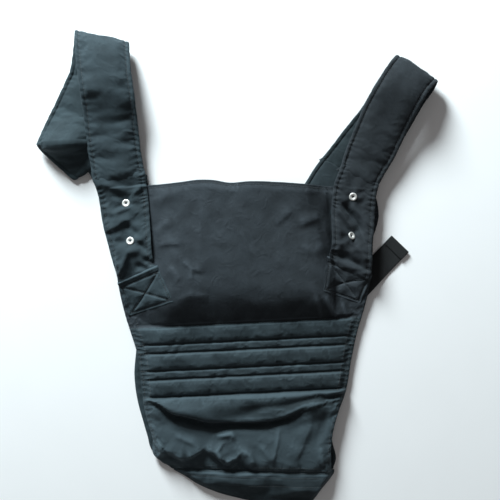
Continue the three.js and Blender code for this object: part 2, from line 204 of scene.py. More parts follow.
lip = through([(-130, 1), (-95, 13), (-63, 20), (-33, 19), (6, 16), (41, 15), (78, 11), (112, 2)])
bulge_crest = through([
    (-180, -70), (-162, -62), (-117, -44), (-85, -34), (-50, -28), (20, -26), (60, -32), (110, -30),
    (134, -44), (155, -68), (190, -72),
])  # fmt: skip


def level(y0):
    return lambda x: y0 + SEAM_SLOPE * x


def hem(x):
    return HEM_Y - 0.02 * (x + 58)


SEAMS = [FIRST_SEAM_Y]
for width in (WIDE_CHANNEL, NARROW_CHANNEL, WIDE_CHANNEL, NARROW_CHANNEL, WIDE_CHANNEL):
    SEAMS.append(SEAMS[-1] - width)


# ---------------------------------------------------------------- materials
def new_material(name):
    material = bpy.data.materials.new(name)
    material.use_nodes = True
    tree = material.node_tree
    return material, tree, tree.nodes["Principled BSDF"]


def set_inputs(tree, node, values):
    """Gives inputs their values by name; a value that is a socket is linked."""
    for key, value in values.items():
        if isinstance(value, bpy.types.NodeSocket):
            tree.links.new(value, node.inputs[key])
        else:
            node.inputs[key].default_value = value


def add_node(tree, kind, **values):
    """A new node; each value goes to the input of that name, or else to the setting of that name."""
    node = tree.nodes.new(kind)
    for key, value in values.items():
        if key in node.inputs:
            set_inputs(tree, node, {key: value})
        else:
            setattr(node, key, value)
    return node


def mix_colour(tree, factor, a, b, blend_type="MIX"):
    """A colour mix; factor, a and b are sockets or plain values."""
    node = tree.nodes.new("ShaderNodeMix")
    node.data_type = "RGBA"
    node.blend_type = blend_type
    for socket, given in ((node.inputs[0], factor), (node.inputs[6], a), (node.inputs[7], b)):
        if isinstance(given, bpy.types.NodeSocket):
            tree.links.new(given, socket)
        else:
            socket.default_value = given if isinstance(given, (int, float)) else (*given, 1)
    return node.outputs[2]


def spread(tree, source, low, high, to_low=0.0, to_high=1.0):
    """Takes a value's range from low to high over to another range."""
    node = add_node(tree, "ShaderNodeMapRange", Value=source)
    set_inputs(tree, node, {"From Min": low, "From Max": high, "To Min": to_low, "To Max": to_high})
    return node.outputs["Result"]


def twill(name, dark, light, rib_pitch=0.9, slant=0.62):
    """Cotton twill: slanted ribs, uneven yarn, soft mottling, and cloth painted lighter by a point attribute:
    wear on rubbed folds, and painted light.

    Painted light: the left side of the carrier is painted lighter and the right side darker."""
    material, tree, shader = new_material(name)
    uv = add_node(tree, "ShaderNodeUVMap", uv_map="Cloth").outputs[0]
    turned = add_node(tree, "ShaderNodeMapping", Vector=uv, Rotation=(0, 0, slant)).outputs[0]
    rib_scale = CLOTH_UNIT / rib_pitch / 6.283 * 2
    ribs = add_node(tree, "ShaderNodeTexWave", Vector=turned, Scale=rib_scale, Distortion=1.4, Detail=2.0)
    ribs.inputs["Detail Scale"].default_value = 1.3
    yarn = add_node(tree, "ShaderNodeTexNoise", Vector=uv, Scale=230.0, Detail=3.0,
                    Roughness=0.6).outputs["Fac"]
    mottle = add_node(tree, "ShaderNodeTexNoise", Vector=uv, Scale=3.2, Detail=5.0, Roughness=0.62,
                      Distortion=0.4).outputs["Fac"]
    crumple = add_node(tree, "ShaderNodeTexNoise", noise_type="RIDGED_MULTIFRACTAL", Vector=uv, Scale=7.0,
                       Detail=6.0, Roughness=0.6, Distortion=0.9).outputs["Fac"]
    wear_and_painted_light = add_node(tree, "ShaderNodeAttribute", attribute_name="wear_and_painted_light").outputs["Fac"]
    where = add_node(tree, "ShaderNodeTexCoord").outputs["Object"]
    place = add_node(tree, "ShaderNodeSeparateXYZ", Vector=where)

    base = mix_colour(tree, spread(tree, mottle, 0.32, 0.7), dark, light)
    flecks = mix_colour(tree, spread(tree, yarn, 0.35, 0.75), (0.80,) * 3, (1.12,) * 3)
    base = mix_colour(tree, 0.55, base, flecks, "MULTIPLY")
    # painted light: the cloth is painted lighter towards the carrier's left side and darker towards its right
    painted_light_share = spread(tree, place.outputs["X"], 0.2, -0.2)
    ramp = mix_colour(tree, painted_light_share, (0.76, 0.74, 0.72), (1.08, 1.1, 1.1))
    base = mix_colour(tree, 1.0, base, ramp, "MULTIPLY")
    # the lighter colour, for wear on rubbed folds and for painted light
    rubbed_and_lit = tuple(min(1, 1.75 * c + 0.006) for c in light)

    soft = add_node(tree, "ShaderNodeBump", Strength=0.45, Distance=0.0016, Height=crumple)
    fine = add_node(tree, "ShaderNodeBump", Strength=0.35, Distance=0.0004, Height=ribs.outputs["Fac"],
                    Normal=soft.outputs["Normal"])
    coarse = add_node(tree, "ShaderNodeBump", Strength=0.4, Distance=0.0006, Height=yarn,
                      Normal=fine.outputs["Normal"])
    set_inputs(tree, shader, {
        "Base Color": mix_colour(tree, wear_and_painted_light, base, rubbed_and_lit),
        "Roughness": spread(tree, yarn, 0.0, 1.0, 0.72, 0.93),
        "Normal": coarse.outputs["Normal"],
        "Sheen Weight": 0.06,
        "Sheen Roughness": 0.5,
        "Sheen Tint": (0.62, 0.78, 0.88, 1),
        "Specular IOR Level": 0.18,
    })
    return material


def woven_tape(name, dark, light):
    """Webbing: a tight plain weave with ribs across it."""
    material, tree, shader = new_material(name)
    uv = add_node(tree, "ShaderNodeUVMap", uv_map="Cloth").outputs[0]
    parts = add_node(tree, "ShaderNodeSeparateXYZ", Vector=uv)
    weave = add_node(tree, "ShaderNodeMath", operation="MULTIPLY")
    for number, (axis, pitch) in enumerate((("X", 1.5), ("Y", 1.1))):
        scaled = add_node(tree, "ShaderNodeMath", operation="MULTIPLY")
        scaled.inputs[1].default_value = CLOTH_UNIT / pitch * 2 * math.pi
        tree.links.new(parts.outputs[axis], scaled.inputs[0])
        wave = add_node(tree, "ShaderNodeMath", operation="SINE")
        tree.links.new(scaled.outputs[0], wave.inputs[0])
        tree.links.new(wave.outputs[0], weave.inputs[number])
    yarn = add_node(tree, "ShaderNodeTexNoise", Vector=uv, Scale=60.0, Detail=3.0)
    base = mix_colour(tree, spread(tree, weave.outputs[0], -0.8, 0.8), dark, light)
    flecks = mix_colour(tree, yarn.outputs["Fac"], (0.6,) * 3, (1.3,) * 3)
    bump = add_node(tree, "ShaderNodeBump", Strength=0.7, Distance=0.0004, Height=weave.outputs[0])
    set_inputs(tree, shader, {
        "Base Color": mix_colour(tree, 0.4, base, flecks, "MULTIPLY"),
        "Normal": bump.outputs["Normal"],
        "Roughness": 0.7,
        "Specular IOR Level": 0.3,
        "Sheen Weight": 0.05,
    })
    return material


def plated_metal(name):
    """Satin nickel with faint handling marks."""
    material, tree, shader = new_material(name)
    where = add_node(tree, "ShaderNodeTexCoord").outputs["Object"]
    marks = add_node(tree, "ShaderNodeTexNoise", Vector=where, Scale=900.0, Detail=4.0, Roughness=0.7)
    set_inputs(tree, shader, {
        "Base Color": mix_colour(tree, marks.outputs["Fac"], (0.60, 0.59, 0.56), (0.76, 0.75, 0.72)),
        "Roughness": spread(tree, marks.outputs["Fac"], 0.0, 1.0, 0.34, 0.55),
        "Metallic": 0.55,
    })
    return material


def thread(name, colour):
    """Sewing thread: a fine twist, darker and lighter along it."""
    material, tree, shader = new_material(name)
    where = add_node(tree, "ShaderNodeTexCoord").outputs["Object"]
    twist = add_node(tree, "ShaderNodeTexNoise", Vector=where, Scale=1500.0, Detail=2.0).outputs["Fac"]
    dark, light = tuple(0.7 * c for c in colour), tuple(1.3 * c for c in colour)
    bump = add_node(tree, "ShaderNodeBump", Strength=0.5, Distance=0.0002, Height=twist)
    set_inputs(tree, shader, {
        "Base Color": mix_colour(tree, twist, dark, light),
        "Normal": bump.outputs["Normal"],
        "Roughness": 0.6,
        "Sheen Weight": 0.2,
    })
    return material


TWILL = twill("slate_twill", (0.0215, 0.0318, 0.0375), (0.0325, 0.048, 0.0565))
# painted shade: a darker, greyer copy of the slate twill, for the upper panel and the right-hand loop, tab
# and patch
SHADED_TWILL = twill("slate_twill_painted_shade", (0.0215, 0.0272, 0.0327), (0.0325, 0.0412, 0.0494))
LINING = twill("slate_lining", (0.019, 0.029, 0.034), (0.029, 0.044, 0.051), rib_pitch=1.1, slant=-0.62)
TAPE = woven_tape("black_webbing", (0.005, 0.006, 0.007), (0.013, 0.015, 0.016))
NICKEL = plated_metal("satin_nickel")
THREAD = thread("slate_thread", (0.018, 0.024, 0.028))
# the right-hand loop, tab and patch take the painted-shade copy of the twill
STRAP_TWILL = {"left": TWILL, "right": SHADED_TWILL}


# ---------------------------------------------------------------- meshes
def mesh_object(name, points, faces, uv=None, wear_and_painted_light=None):
    """points in millimetres; uv one pair per point, in cloth units; the last, one value per point, is how
    much lighter the cloth is painted: wear on rubbed folds, and painted light.
    """
    mesh = bpy.data.meshes.new(name)
    mesh.from_pydata((np.asarray(points) * MM).tolist(), [], faces)
    if uv is not None:
        layer = mesh.uv_layers.new(name="Cloth")
        corner = np.zeros(len(mesh.loops), np.int32)
        mesh.loops.foreach_get("vertex_index", corner)
        layer.data.foreach_set("uv", np.asarray(uv, np.float32)[corner].ravel())
    if wear_and_painted_light is not None:
        rubbed_and_lit = mesh.attributes.new("wear_and_painted_light", "FLOAT", "POINT")
        rubbed_and_lit.data.foreach_set("value", np.asarray(wear_and_painted_light, np.float32).ravel())
    mesh.polygons.foreach_set("use_smooth", [True] * len(mesh.polygons))
    made = bpy.data.objects.new(name, mesh)
    bpy.context.scene.collection.objects.link(made)
    return made


def grid_faces(rows, columns, wrap=False):
    index = np.arange(rows * columns).reshape(rows, columns)
    if wrap:
        index = np.hstack([index, index[:, :1]])
    a, b = index[:-1, :-1], index[:-1, 1:]
    c, d = index[1:, 1:], index[1:, :-1]
    return np.stack([a, b, c, d], -1).reshape(-1, 4).tolist()


def plan_cloth(name, x, y, z, wear_and_painted_light=None):
    """A cloth on a grid of plan points and heights, with its cloth coordinates taken from the plan."""
    points = np.stack([x, y, z], -1).reshape(-1, 3)
    uv = np.stack([x / CLOTH_UNIT, y / CLOTH_UNIT], -1).reshape(-1, 2)
    return mesh_object(name, points, grid_faces(*x.shape), uv, wear_and_painted_light)


def points_of(obj):
    co = np.zeros(len(obj.data.vertices) * 3)
    obj.data.vertices.foreach_get("co", co)
    return co.reshape(-1, 3) / MM


def set_points(obj, points):
    obj.data.vertices.foreach_set("co", (points * MM).ravel())
    obj.data.update()


def apply_modifiers(obj):
    evaluated = obj.evaluated_get(bpy.context.evaluated_depsgraph_get())
    old = obj.data
    obj.data = bpy.data.meshes.new_from_object(evaluated)
    obj.modifiers.clear()
    obj.data.name = obj.name
    bpy.data.meshes.remove(old)
    return obj


SIMULATION_SCALE = 10.0  # the cloth is settled at ten times its size


def settle(obj, pinned, spare, pressure, frames, cap, keep):
    """Lets cloth with some spare length pucker between its pinned points, none moving further than cap.

    keep is the share of the move that is kept, one number or one per point."""
    start = points_of(obj)
    cloth = obj.copy()
    cloth.data = obj.data.copy()
    bpy.context.scene.collection.objects.link(cloth)
    cloth.data.vertices.foreach_set("co", (start * MM * SIMULATION_SCALE).ravel())
    group = cloth.vertex_groups.new(name="pinned")
    for weight in np.unique(np.round(pinned, 2)):
        if weight > 0:
            group.add(np.flatnonzero(np.abs(pinned - weight) < 0.006).tolist(), float(weight), "REPLACE")
    modifier = cloth.modifiers.new("cloth", "CLOTH")
    s = modifier.settings
    s.quality = 6
    s.mass = 0.25
    s.tension_stiffness = s.compression_stiffness = 18
    s.shear_stiffness = 8
    s.bending_stiffness = 0.4
    s.tension_damping = s.compression_damping = 8
    s.air_damping = 3
    s.vertex_group_mass = "pinned"
    s.shrink_min = -spare
    s.use_pressure = True
    s.uniform_pressure_force = pressure
    s.effector_weights.gravity = 0
    modifier.point_cache.frame_start = 1
    modifier.point_cache.frame_end = frames
    scene = bpy.context.scene
    for number in range(1, frames + 1):
        scene.frame_set(number)
    evaluated = cloth.evaluated_get(bpy.context.evaluated_depsgraph_get())
    moved = np.zeros(len(start) * 3)
    evaluated.data.vertices.foreach_get("co", moved)
    moved = moved.reshape(-1, 3) / MM / SIMULATION_SCALE
    scene.frame_set(1)
    step = moved - start
    far = np.linalg.norm(step, axis=1)
    print(f"{obj.name}: settled, typical move {far.mean():.2f} mm, most {far.max():.2f} mm")
    step *= (keep * cap * np.tanh(far / cap) / np.maximum(far, 1e-9))[:, None]
    bpy.data.objects.remove(cloth)
    set_points(obj, start + np.nan_to_num(step))
    return obj


def add_thickness(obj, thickness):
    solid = obj.modifiers.new("thickness", "SOLIDIFY")
    solid.thickness = thickness * MM
    solid.offset = -1


def smoothed(obj, thickness=0):
    """A finer, rounder mesh of a cloth, given its thickness first unless it is a closed form already."""
    if thickness:
        add_thickness(obj, thickness)
    finer = obj.modifiers.new("smooth", "SUBSURF")
    finer.levels = finer.render_levels = 1
    finer.boundary_smooth = "PRESERVE_CORNERS"
    return apply_modifiers(obj)


def above_ground(obj):
    """Flattens what would sink into the ground."""
    points = points_of(obj)
    points[:, 2] = np.maximum(points[:, 2], GROUND_CLEARANCE)
    set_points(obj, points)
    return obj


def dress(obj, material, body=None, replaces=(), inner=None):
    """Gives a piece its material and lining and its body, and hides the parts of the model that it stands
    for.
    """
    indices = [p.material_index for p in obj.data.polygons]
    obj.data.materials.clear()
    obj.data.materials.append(material)
    if inner:
        obj.data.materials.append(inner)
        obj.data.polygons.foreach_set("material_index", indices)
    if body:
        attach(obj, body)
    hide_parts(*replaces)
    return obj


def outward(obj):
    """Turns every face to point outwards."""
    work = bmesh.new()
    work.from_mesh(obj.data)
    bmesh.ops.recalc_face_normals(work, faces=work.faces)
    work.to_mesh(obj.data)
    work.free()
    return obj


class Surface:
    """What lies under a piece: the highest cloth at a point, in millimetres."""

    def __init__(self, *objects):
        self.trees = []
        for obj in objects:
            polygons = [p.vertices[:] for p in obj.data.polygons]
            self.trees.append(BVHTree.FromPolygons([v.co for v in obj.data.vertices], polygons))

    def top(self, x, y, otherwise=0.0):
        best = -1e9
        for tree in self.trees:
            hit = tree.ray_cast(Vector((x * MM, y * MM, 0.2)), Vector((0, 0, -1)))[0]
            if hit:
                best = max(best, hit.z / MM)
        return best if best > -1e8 else otherwise

    def tops(self, x, y, otherwise=0.0):
        flat = [self.top(a, b, otherwise) for a, b in zip(np.ravel(x), np.ravel(y))]
        return np.array(flat).reshape(np.shape(x))


def rubbed_folds(z, amount=0.10):
    """Where a grid of heights is sharply convex, cloth is rubbed lighter."""
    bend = np.zeros(z.shape)
    bend[1:-1, 1:-1] = z[1:-1, 1:-1] * 4 - z[:-2, 1:-1] - z[2:, 1:-1] - z[1:-1, :-2] - z[1:-1, 2:]
    return np.clip(bend * amount, 0, 0.5)


# ---------------------------------------------------------------- the front of the panel
quilt_profile = through([
    (-1, 0), (-0.85, 0.5), (-0.5, 0.9), (0, 1.0), (0.5, 0.9), (0.85, 0.5), (1, 0),
])  # fmt: skip


def quilt_puff(at):
    """Height of the channels above their seams, along the sheared y."""
    total = np.zeros(at.shape)
    for i in range(5):
        high, low = SEAMS[i], SEAMS[i + 1]
        middle, half = (high + low) / 2, (high - low) / 2
        inside = (at <= high) & (at >= low)
        puff = 5.4 if i % 2 == 0 else 3.0
        total = np.where(inside, puff * quilt_profile((at - middle) / half), total)
    return total


bib_rise = through([
    (0, 0), (0.14, 0.42), (0.32, 0.86), (0.45, 1.0), (0.7, 0.96), (1.0, 0.83), (1.3, 0.66), (1.6, 0.5),
    (1.85, 0.38), (2.4, 0.25), (4.2, 0),
])  # fmt: skip

# each fold: its path, its height, and its widths to the left and the right of the way it runs
BIB_FOLDS = [
    ([(-133, 108), (-108, 117), (-79, 124)], 2.2, 7, 10),
    ([(-128, 57), (-113, 71), (-100, 82)], 3.0, 7, 10),
    ([(-124, 41), (-103, 45), (-80, 44)], 3.4, 10, 5),
    ([(-85, 20), (-69, 7), (-47, 1)], 2.6, 7, 4),
    ([(-69, 7), (-70, -12)], 2.2, 5, 5),
    ([(-104, 12), (-93, 0), (-84, -14)], 2.4, 6, 8),
    ([(54, 71), (70, 84), (86, 98)], 2.4, 9, 6),
    ([(92, 72), (110, 79), (130, 87)], 3.0, 9, 6),
    ([(96, 40), (118, 34), (136, 40)], 2.6, 8, 8),
    ([(-50, 136), (-54, 60), (-60, -22)], 1.8, 20, 9),
    ([(60, 128), (72, 60), (64, -10)], 1.4, 22, 22),
    ([(134, -30), (142, -50), (152, -72)], 3.0, 5, 6),
    ([(118, -30), (126, -52), (132, -72)], 2.2, 5, 6),
    ([(161, -42), (166, -58), (172, -74)], 2.6, 5, 5),
    ([(-96, -44), (-70, -34), (-40, -36)], 2.4, 6, 8),
    ([(-10, 118), (6, 90), (12, 40)], 1.2, 16, 16),
]
SEAT_FOLDS = [
    ([(-33, -251), (-8, -248), (0, -259)], 4.0, 4, 6),
    ([(4, -262), (7, -272), (0, -283), (-12, -288), (-24, -284), (-29, -272), (-22, -262), (-10, -258)],
     3.0, 4, 4),
    ([(-110, -268), (-92, -280), (-76, -284)], 5.0, 14, 5),
    ([(-76, -284), (-62, -278), (-50, -271)], 5.5, 12, 4),
    ([(-50, -271), (-34, -278), (-20, -290)], 5.5, 12, 4),
    ([(-20, -290), (-6, -296), (4, -292)], 4.0, 8, 4),
    ([(6, -270), (20, -279), (28, -298)], 5.0, 5, 8),
    ([(66, -236), (62, -262), (54, -298)], 1.6, 3, 4),
    ([(115, -214), (110, -240), (98, -268), (84, -292)], 3.0, 6, 14),
    ([(140, -204), (131, -236), (122, -266)], -2.5, 8, 7),
    ([(-134, -228), (-125, -256), (-107, -280)], 4.0, 6, 8),
    ([(35, -262), (46, -276), (58, -290)], 3.0, 7, 6),
    ([(128, -262), (130, -284), (136, -300)], 3.0, 6, 6),
    ([(-96, -248), (-72, -258), (-60, -264)], 2.6, 6, 5),
    ([(-30, -188), (4, -192), (30, -190)], 1.6, 4, 4),
]
UPPER_SEAT_FOLD = [(156, -184), (134, -194), (115, -201), (78, -209), (41, -213), (6, -222)]


# across the seat, from its top seam to the crevice, and from the crevice to the hem
upper_seat_left = through([
    (0, 9), (0.08, 14), (0.2, 19), (0.4, 23.5), (0.58, 24.5), (0.72, 22.5), (0.84, 18.5), (1, 15),
])  # fmt: skip
upper_seat_right = through([
    (0, 9), (0.06, 14), (0.13, 19), (0.22, 20.5), (0.36, 18), (0.52, 13), (0.64, 11.5), (0.74, 14),
    (0.84, 14.5), (1, 12),
])  # fmt: skip
lower_seat_fill = through([
    (0, 5), (0.05, 7), (0.12, 10), (0.3, 12.6), (0.6, 15.0), (0.85, 16.1), (0.96, 15.9), (1, 15.3),
])  # fmt: skip


def panel_height(x, y):
    """The outer surface of the front, above the ground."""
    at = y - SEAM_SLOPE * x
    inward = np.minimum(x - panel_left(y), panel_right(y) - x)
    from_left, from_right = x - panel_left(y), panel_right(y) - x
    rim = np.sqrt(smoothstep(from_left, -2, lerp(20, 46, smoothstep(y, -200, -80))))
    rim = rim * np.sqrt(smoothstep(from_right, -2, lerp(9, 46, smoothstep(y, -205, -90))))

    # the upper panel: a bulge that hangs over the first seam
    crest = np.maximum(bulge_crest(x) - level(FIRST_SEAM_Y)(x), 6)
    above = (y - level(FIRST_SEAM_Y)(x)) / crest * 0.45
    middle = smoothstep(inward, 0, 95)
    bib = 9.5 + 21 * bib_rise(above) * middle
    hem_drop = smoothstep(bib_top(x) - y, -1, 14)
    wing = smoothstep(np.abs(x - 8), 110, 150)
    over_strap = smoothstep(x, 0, 80) * (1 - smoothstep(x, 105, 132))
    bib = bib + 7 * hump(y, 138, 44) * over_strap
    bib = bib - 5 * wing * smoothstep(-y, 0, 70)
    # it dips beside the right tab, at the top hem and along the hem's stitching
    bib = bib - 4.5 * smoothstep(x, 120, 149) * smoothstep(y, 5, 30) * smoothstep(y, 128, 84)
    bib_hem = lerp(bib - np.where(x > 0, 1.0, 2.5), 12.5, wing * (x < 0))
    bib = lerp(bib_hem, bib, hem_drop) - 0.9 * hump(bib_top(x) - y, 4.5, 1.6)

    # the seat: it rises to a lip, drops into a crevice and fills out again below
    last = level(SEAMS[5])(x)
    deep = crevice(x)
    room = smoothstep(lip(x), 1, 14)
    t = np.clip((last - y) / np.maximum(last - deep, 4), 0, 1)
    floor = 16 - 11 * room
    upper_seat = lerp(upper_seat_left(t), upper_seat_right(t), smoothstep(x, -55, 35))
    upper_seat = lerp(upper_seat, 0.8 * upper_seat + 2, 1 - room)
    upper_seat = lerp(upper_seat, floor, smoothstep(deep + 7 - y, 0, 4.5))
    s = np.clip((deep - y) / np.maximum(deep - hem(x), 4), 0, 1)
    lower_seat = lower_seat_fill(s) + (floor - 6) * (1 - smoothstep(s, 0, 0.25))
    tucked = smoothstep(y - scallop(x), -3, 8) * 0.7 + smoothstep(y - scallop(x), 0, 24) * 0.3
    lower_seat = lerp(7.5, lower_seat, tucked)
    lower_seat = lower_seat - 4 * (1 - smoothstep(x, -95, -10)) * smoothstep(s, 0.8, 1)
    seat = np.where(y > deep, upper_seat, lower_seat)

    quilted = 9.0 + quilt_puff(at) * smoothstep(inward, 6, 15)
    height = np.where(at > SEAMS[0], bib, np.where(at < SEAMS[5], seat, quilted))
    bib_edge = lerp(6.5, 10.5, smoothstep(y, -70, -10))
    seat_edge = 6.5 - 2.3 * smoothstep(-y, 150, 300)
    edge = np.where(at > SEAMS[0], bib_edge, seat_edge)
    edge = edge + 11 * (x > 0) * smoothstep(-y, 190, 225) * smoothstep(y, -304, -280)
    height = lerp(edge, height, rim)

    inside = smoothstep(inward, 4, 26)
    for path, rise, before, after in BIB_FOLDS:
        height = height + 0.65 * ridge(x, y, path, rise, before, after) * inside * (at > SEAMS[0])
    below = smoothstep(SEAMS[5] - at, 0, 8)
    for path, rise, before, after in SEAT_FOLDS:
        height = height + ridge(x, y, path, rise, before, after) * below * smoothstep(inward, 0, 16)
    height = height + ridge(x, y, UPPER_SEAT_FOLD, 6.0, 9, 5) * below

    # slow unevenness everywhere, and puckers along the seams and the gathered sides
    calm = smoothstep(inward, 0, 30)
    calm = calm * np.where(at > SEAMS[0], 0.55, 1.0)
    height = height + 0.9 * ripple(x, y, 55, 3) * calm + 0.4 * ripple(x, y * 1.4, 24, 4) * calm
    nearest = np.min([np.abs(at - s) for s in SEAMS], axis=0)
    band = (at < SEAMS[0] + 8) & (at > SEAMS[5] - 8)
    height = height + 0.5 * np.sin(x / 5.5 + 2.5 * ripple(x, y, 60, 5)) * hump(nearest, 0, 5) * band
    gathered = hump(inward, 8, 9) * smoothstep(-at, 70, 90) * smoothstep(at, -215, -190)
    height = height + 0.55 * np.sin(y / 1.2 + 2 * ripple(x, y, 40, 6)) * gathered
    return height


FRONT_COLUMNS = 116
TUCK_DEPTH = 1.1  # how far a piece's last rows go under its neighbour


def build_front():
    """The front as one settled grid of points and cloth coordinates, with the row each span starts at."""
    rows = []
    spans = [(hem, level(SEAMS[5]), 40)]
    for i in (4, 3, 2, 1, 0):
        spans.append((level(SEAMS[i + 1]), level(SEAMS[i]), 10 if i % 2 == 0 else 6))
    spans.append((level(SEAMS[0]), bib_top, 66))
    seam_rows = []
    for low, high, count in spans:
        seam_rows.append(len(rows))
        rows += [(low, high, k / count) for k in range(count)]
    rows.append((level(SEAMS[0]), bib_top, 1.0))
    u = np.linspace(0, 1, FRONT_COLUMNS)
    x = np.zeros((len(rows), FRONT_COLUMNS))
    y = np.zeros((len(rows), FRONT_COLUMNS))
    for r, (low, high, t) in enumerate(rows):
        across = np.zeros(FRONT_COLUMNS)
        for _ in range(8):  # a few rounds find where a sloping row meets the side edges
            up = lerp(low(across), high(across), t)
            across = lerp(panel_left(up), panel_right(up), u)
        x[r], y[r] = across, lerp(low(across), high(across), t)
    z = panel_height(x, y)

    # the lip of the seat leans out over the crevice
    over = hump(y - crevice(x), 0.7 * lip(x), 9) * smoothstep(lip(x), 3, 15)
    y = y - 5 * over
    rest = np.stack([x, y, z], -1)
    steps_u = np.linalg.norm(np.diff(rest, axis=1), axis=2)
    steps_v = np.linalg.norm(np.diff(rest, axis=0), axis=2)
    uv_x = np.hstack([np.zeros((len(rows), 1)), np.cumsum(steps_u, axis=1)])
    uv_y = np.vstack([np.zeros((1, FRONT_COLUMNS)), np.cumsum(steps_v, axis=0)])
    middle = FRONT_COLUMNS // 2
    uv = np.stack([(uv_x - uv_x[:, middle: middle + 1]) / CLOTH_UNIT, uv_y / CLOTH_UNIT], -1)

    pinned = np.zeros(x.shape)
    for r in seam_rows[1:]:
        pinned[r] = 0.9
    pinned[0] = 1.0
    pinned[-3] = 0.8
    pinned[-1] = 0.6
    pinned[:, 0] = pinned[:, -1] = 1.0
    inward = np.minimum(x - panel_left(y), panel_right(y) - x)
    pinned = np.maximum(pinned, 0.7 * (np.abs(inward - 14) < 1.8) * (y < -70) * (y > -205))
    at = y - SEAM_SLOPE * x
    pinned = np.maximum(pinned, 0.10 * (at > SEAMS[0]) + 0.05)
    keep = np.where(at > SEAMS[0] - 2, 0.08 + 0.5 * hump(inward, 0, 35), 1.0)
    keep = np.where((at < SEAMS[0]) & (at > SEAMS[5]), 0.22, keep)
    keep = np.where(at <= SEAMS[5], lerp(0.22, 0.9, smoothstep(SEAMS[5] - at, 4, 22)), keep)
    whole = mesh_object("front", rest.reshape(-1, 3), grid_faces(*x.shape), uv.reshape(-1, 2))
    settle(whole, pinned.ravel(), spare=0.035, pressure=0.6, frames=26, cap=4.0, keep=keep.ravel())
    grid = np.concatenate([points_of(whole).reshape(*x.shape, 3), uv], axis=2)
    bpy.data.objects.remove(whole)
    return grid, seam_rows


def finer_grid(values):
    """A grid with a smooth extra row and column between every two."""
    for _ in range(2):
        edged = np.concatenate([2 * values[:1] - values[1:2], values, 2 * values[-1:] - values[-2:-1]])
        between = (9 * (edged[1:-2] + edged[2:-1]) - edged[:-3] - edged[3:]) / 16
        fine = np.empty((2 * len(values) - 1, *values.shape[1:]))
        fine[::2] = values
        fine[1::2] = between
        values = fine.swapaxes(0, 1)
    return values


def cut_rows(name, grid, first, last, thickness):
    """Rows first to last of the front as a piece of its own, tucked under its neighbours by two rows."""
    low, high = max(0, first - 2), min(len(grid), last + 3)
    part = grid[low:high].copy()
    part[: first - low, :, 2] -= TUCK_DEPTH
    if high > last + 1:
        part[last + 1 - high:, :, 2] -= TUCK_DEPTH
    rows, columns = part.shape[:2]
    # lighter cloth: wear on sharply convex folds, and painted light on the seat below its crevice
    wear_and_painted_light = rubbed_folds(part[..., 2], 1.1) + 0.38 * smoothstep(crevice(part[..., 0]) - part[..., 1], 3, 18)
    piece = mesh_object(name, part[..., :3].reshape(-1, 3), grid_faces(rows, columns),
                        part[..., 3:].reshape(-1, 2), wear_and_painted_light.ravel())
    add_thickness(piece, thickness)
    return apply_modifiers(piece)


front_grid, seam_rows = build_front()
front_grid = finer_grid(front_grid)
front_x, front_y = front_grid[..., 0], front_grid[..., 1]
along_seam = front_y - SEAM_SLOPE * front_x
# fine creases, lower on the upper panel and the quilted band than on the seat
crease_height = np.where(along_seam > SEAMS[0], 0.22, np.where(along_seam > SEAMS[5], 0.16, 0.5))
front_grid[..., 2] += crease_height * creases(0.75 * front_x + 0.5 * front_y, 0.8 * front_y, 60, 61)
seam_rows = [2 * r for r in seam_rows]
seat = cut_rows("seat", front_grid, 0, seam_rows[1], 2.2)
quilt = cut_rows("quilted_band", front_grid, seam_rows[1], seam_rows[6], 3.2)
bib = cut_rows("upper_panel", front_grid, seam_rows[6], len(front_grid) - 1, 3.4)
dress(seat, TWILL, "panel", ["seat_face", "seat_lining", "seat_hem"])
dress(quilt, TWILL, "panel", [
    "quilt_face", "upper_quilt_foam", "middle_quilt_foam", "lower_quilt_foam",
    "left_side_casing", "right_side_casing",
])  # fmt: skip
# the upper panel takes the painted-shade copy of the twill
dress(bib, SHADED_TWILL, "panel", ["bib_face", "bib_wadding", "bib_lining", "bib_top_hem"])
panel_top = Surface(seat, quilt, bib)


# ---------------------------------------------------------------- straps
STRAP_COLUMNS = 30


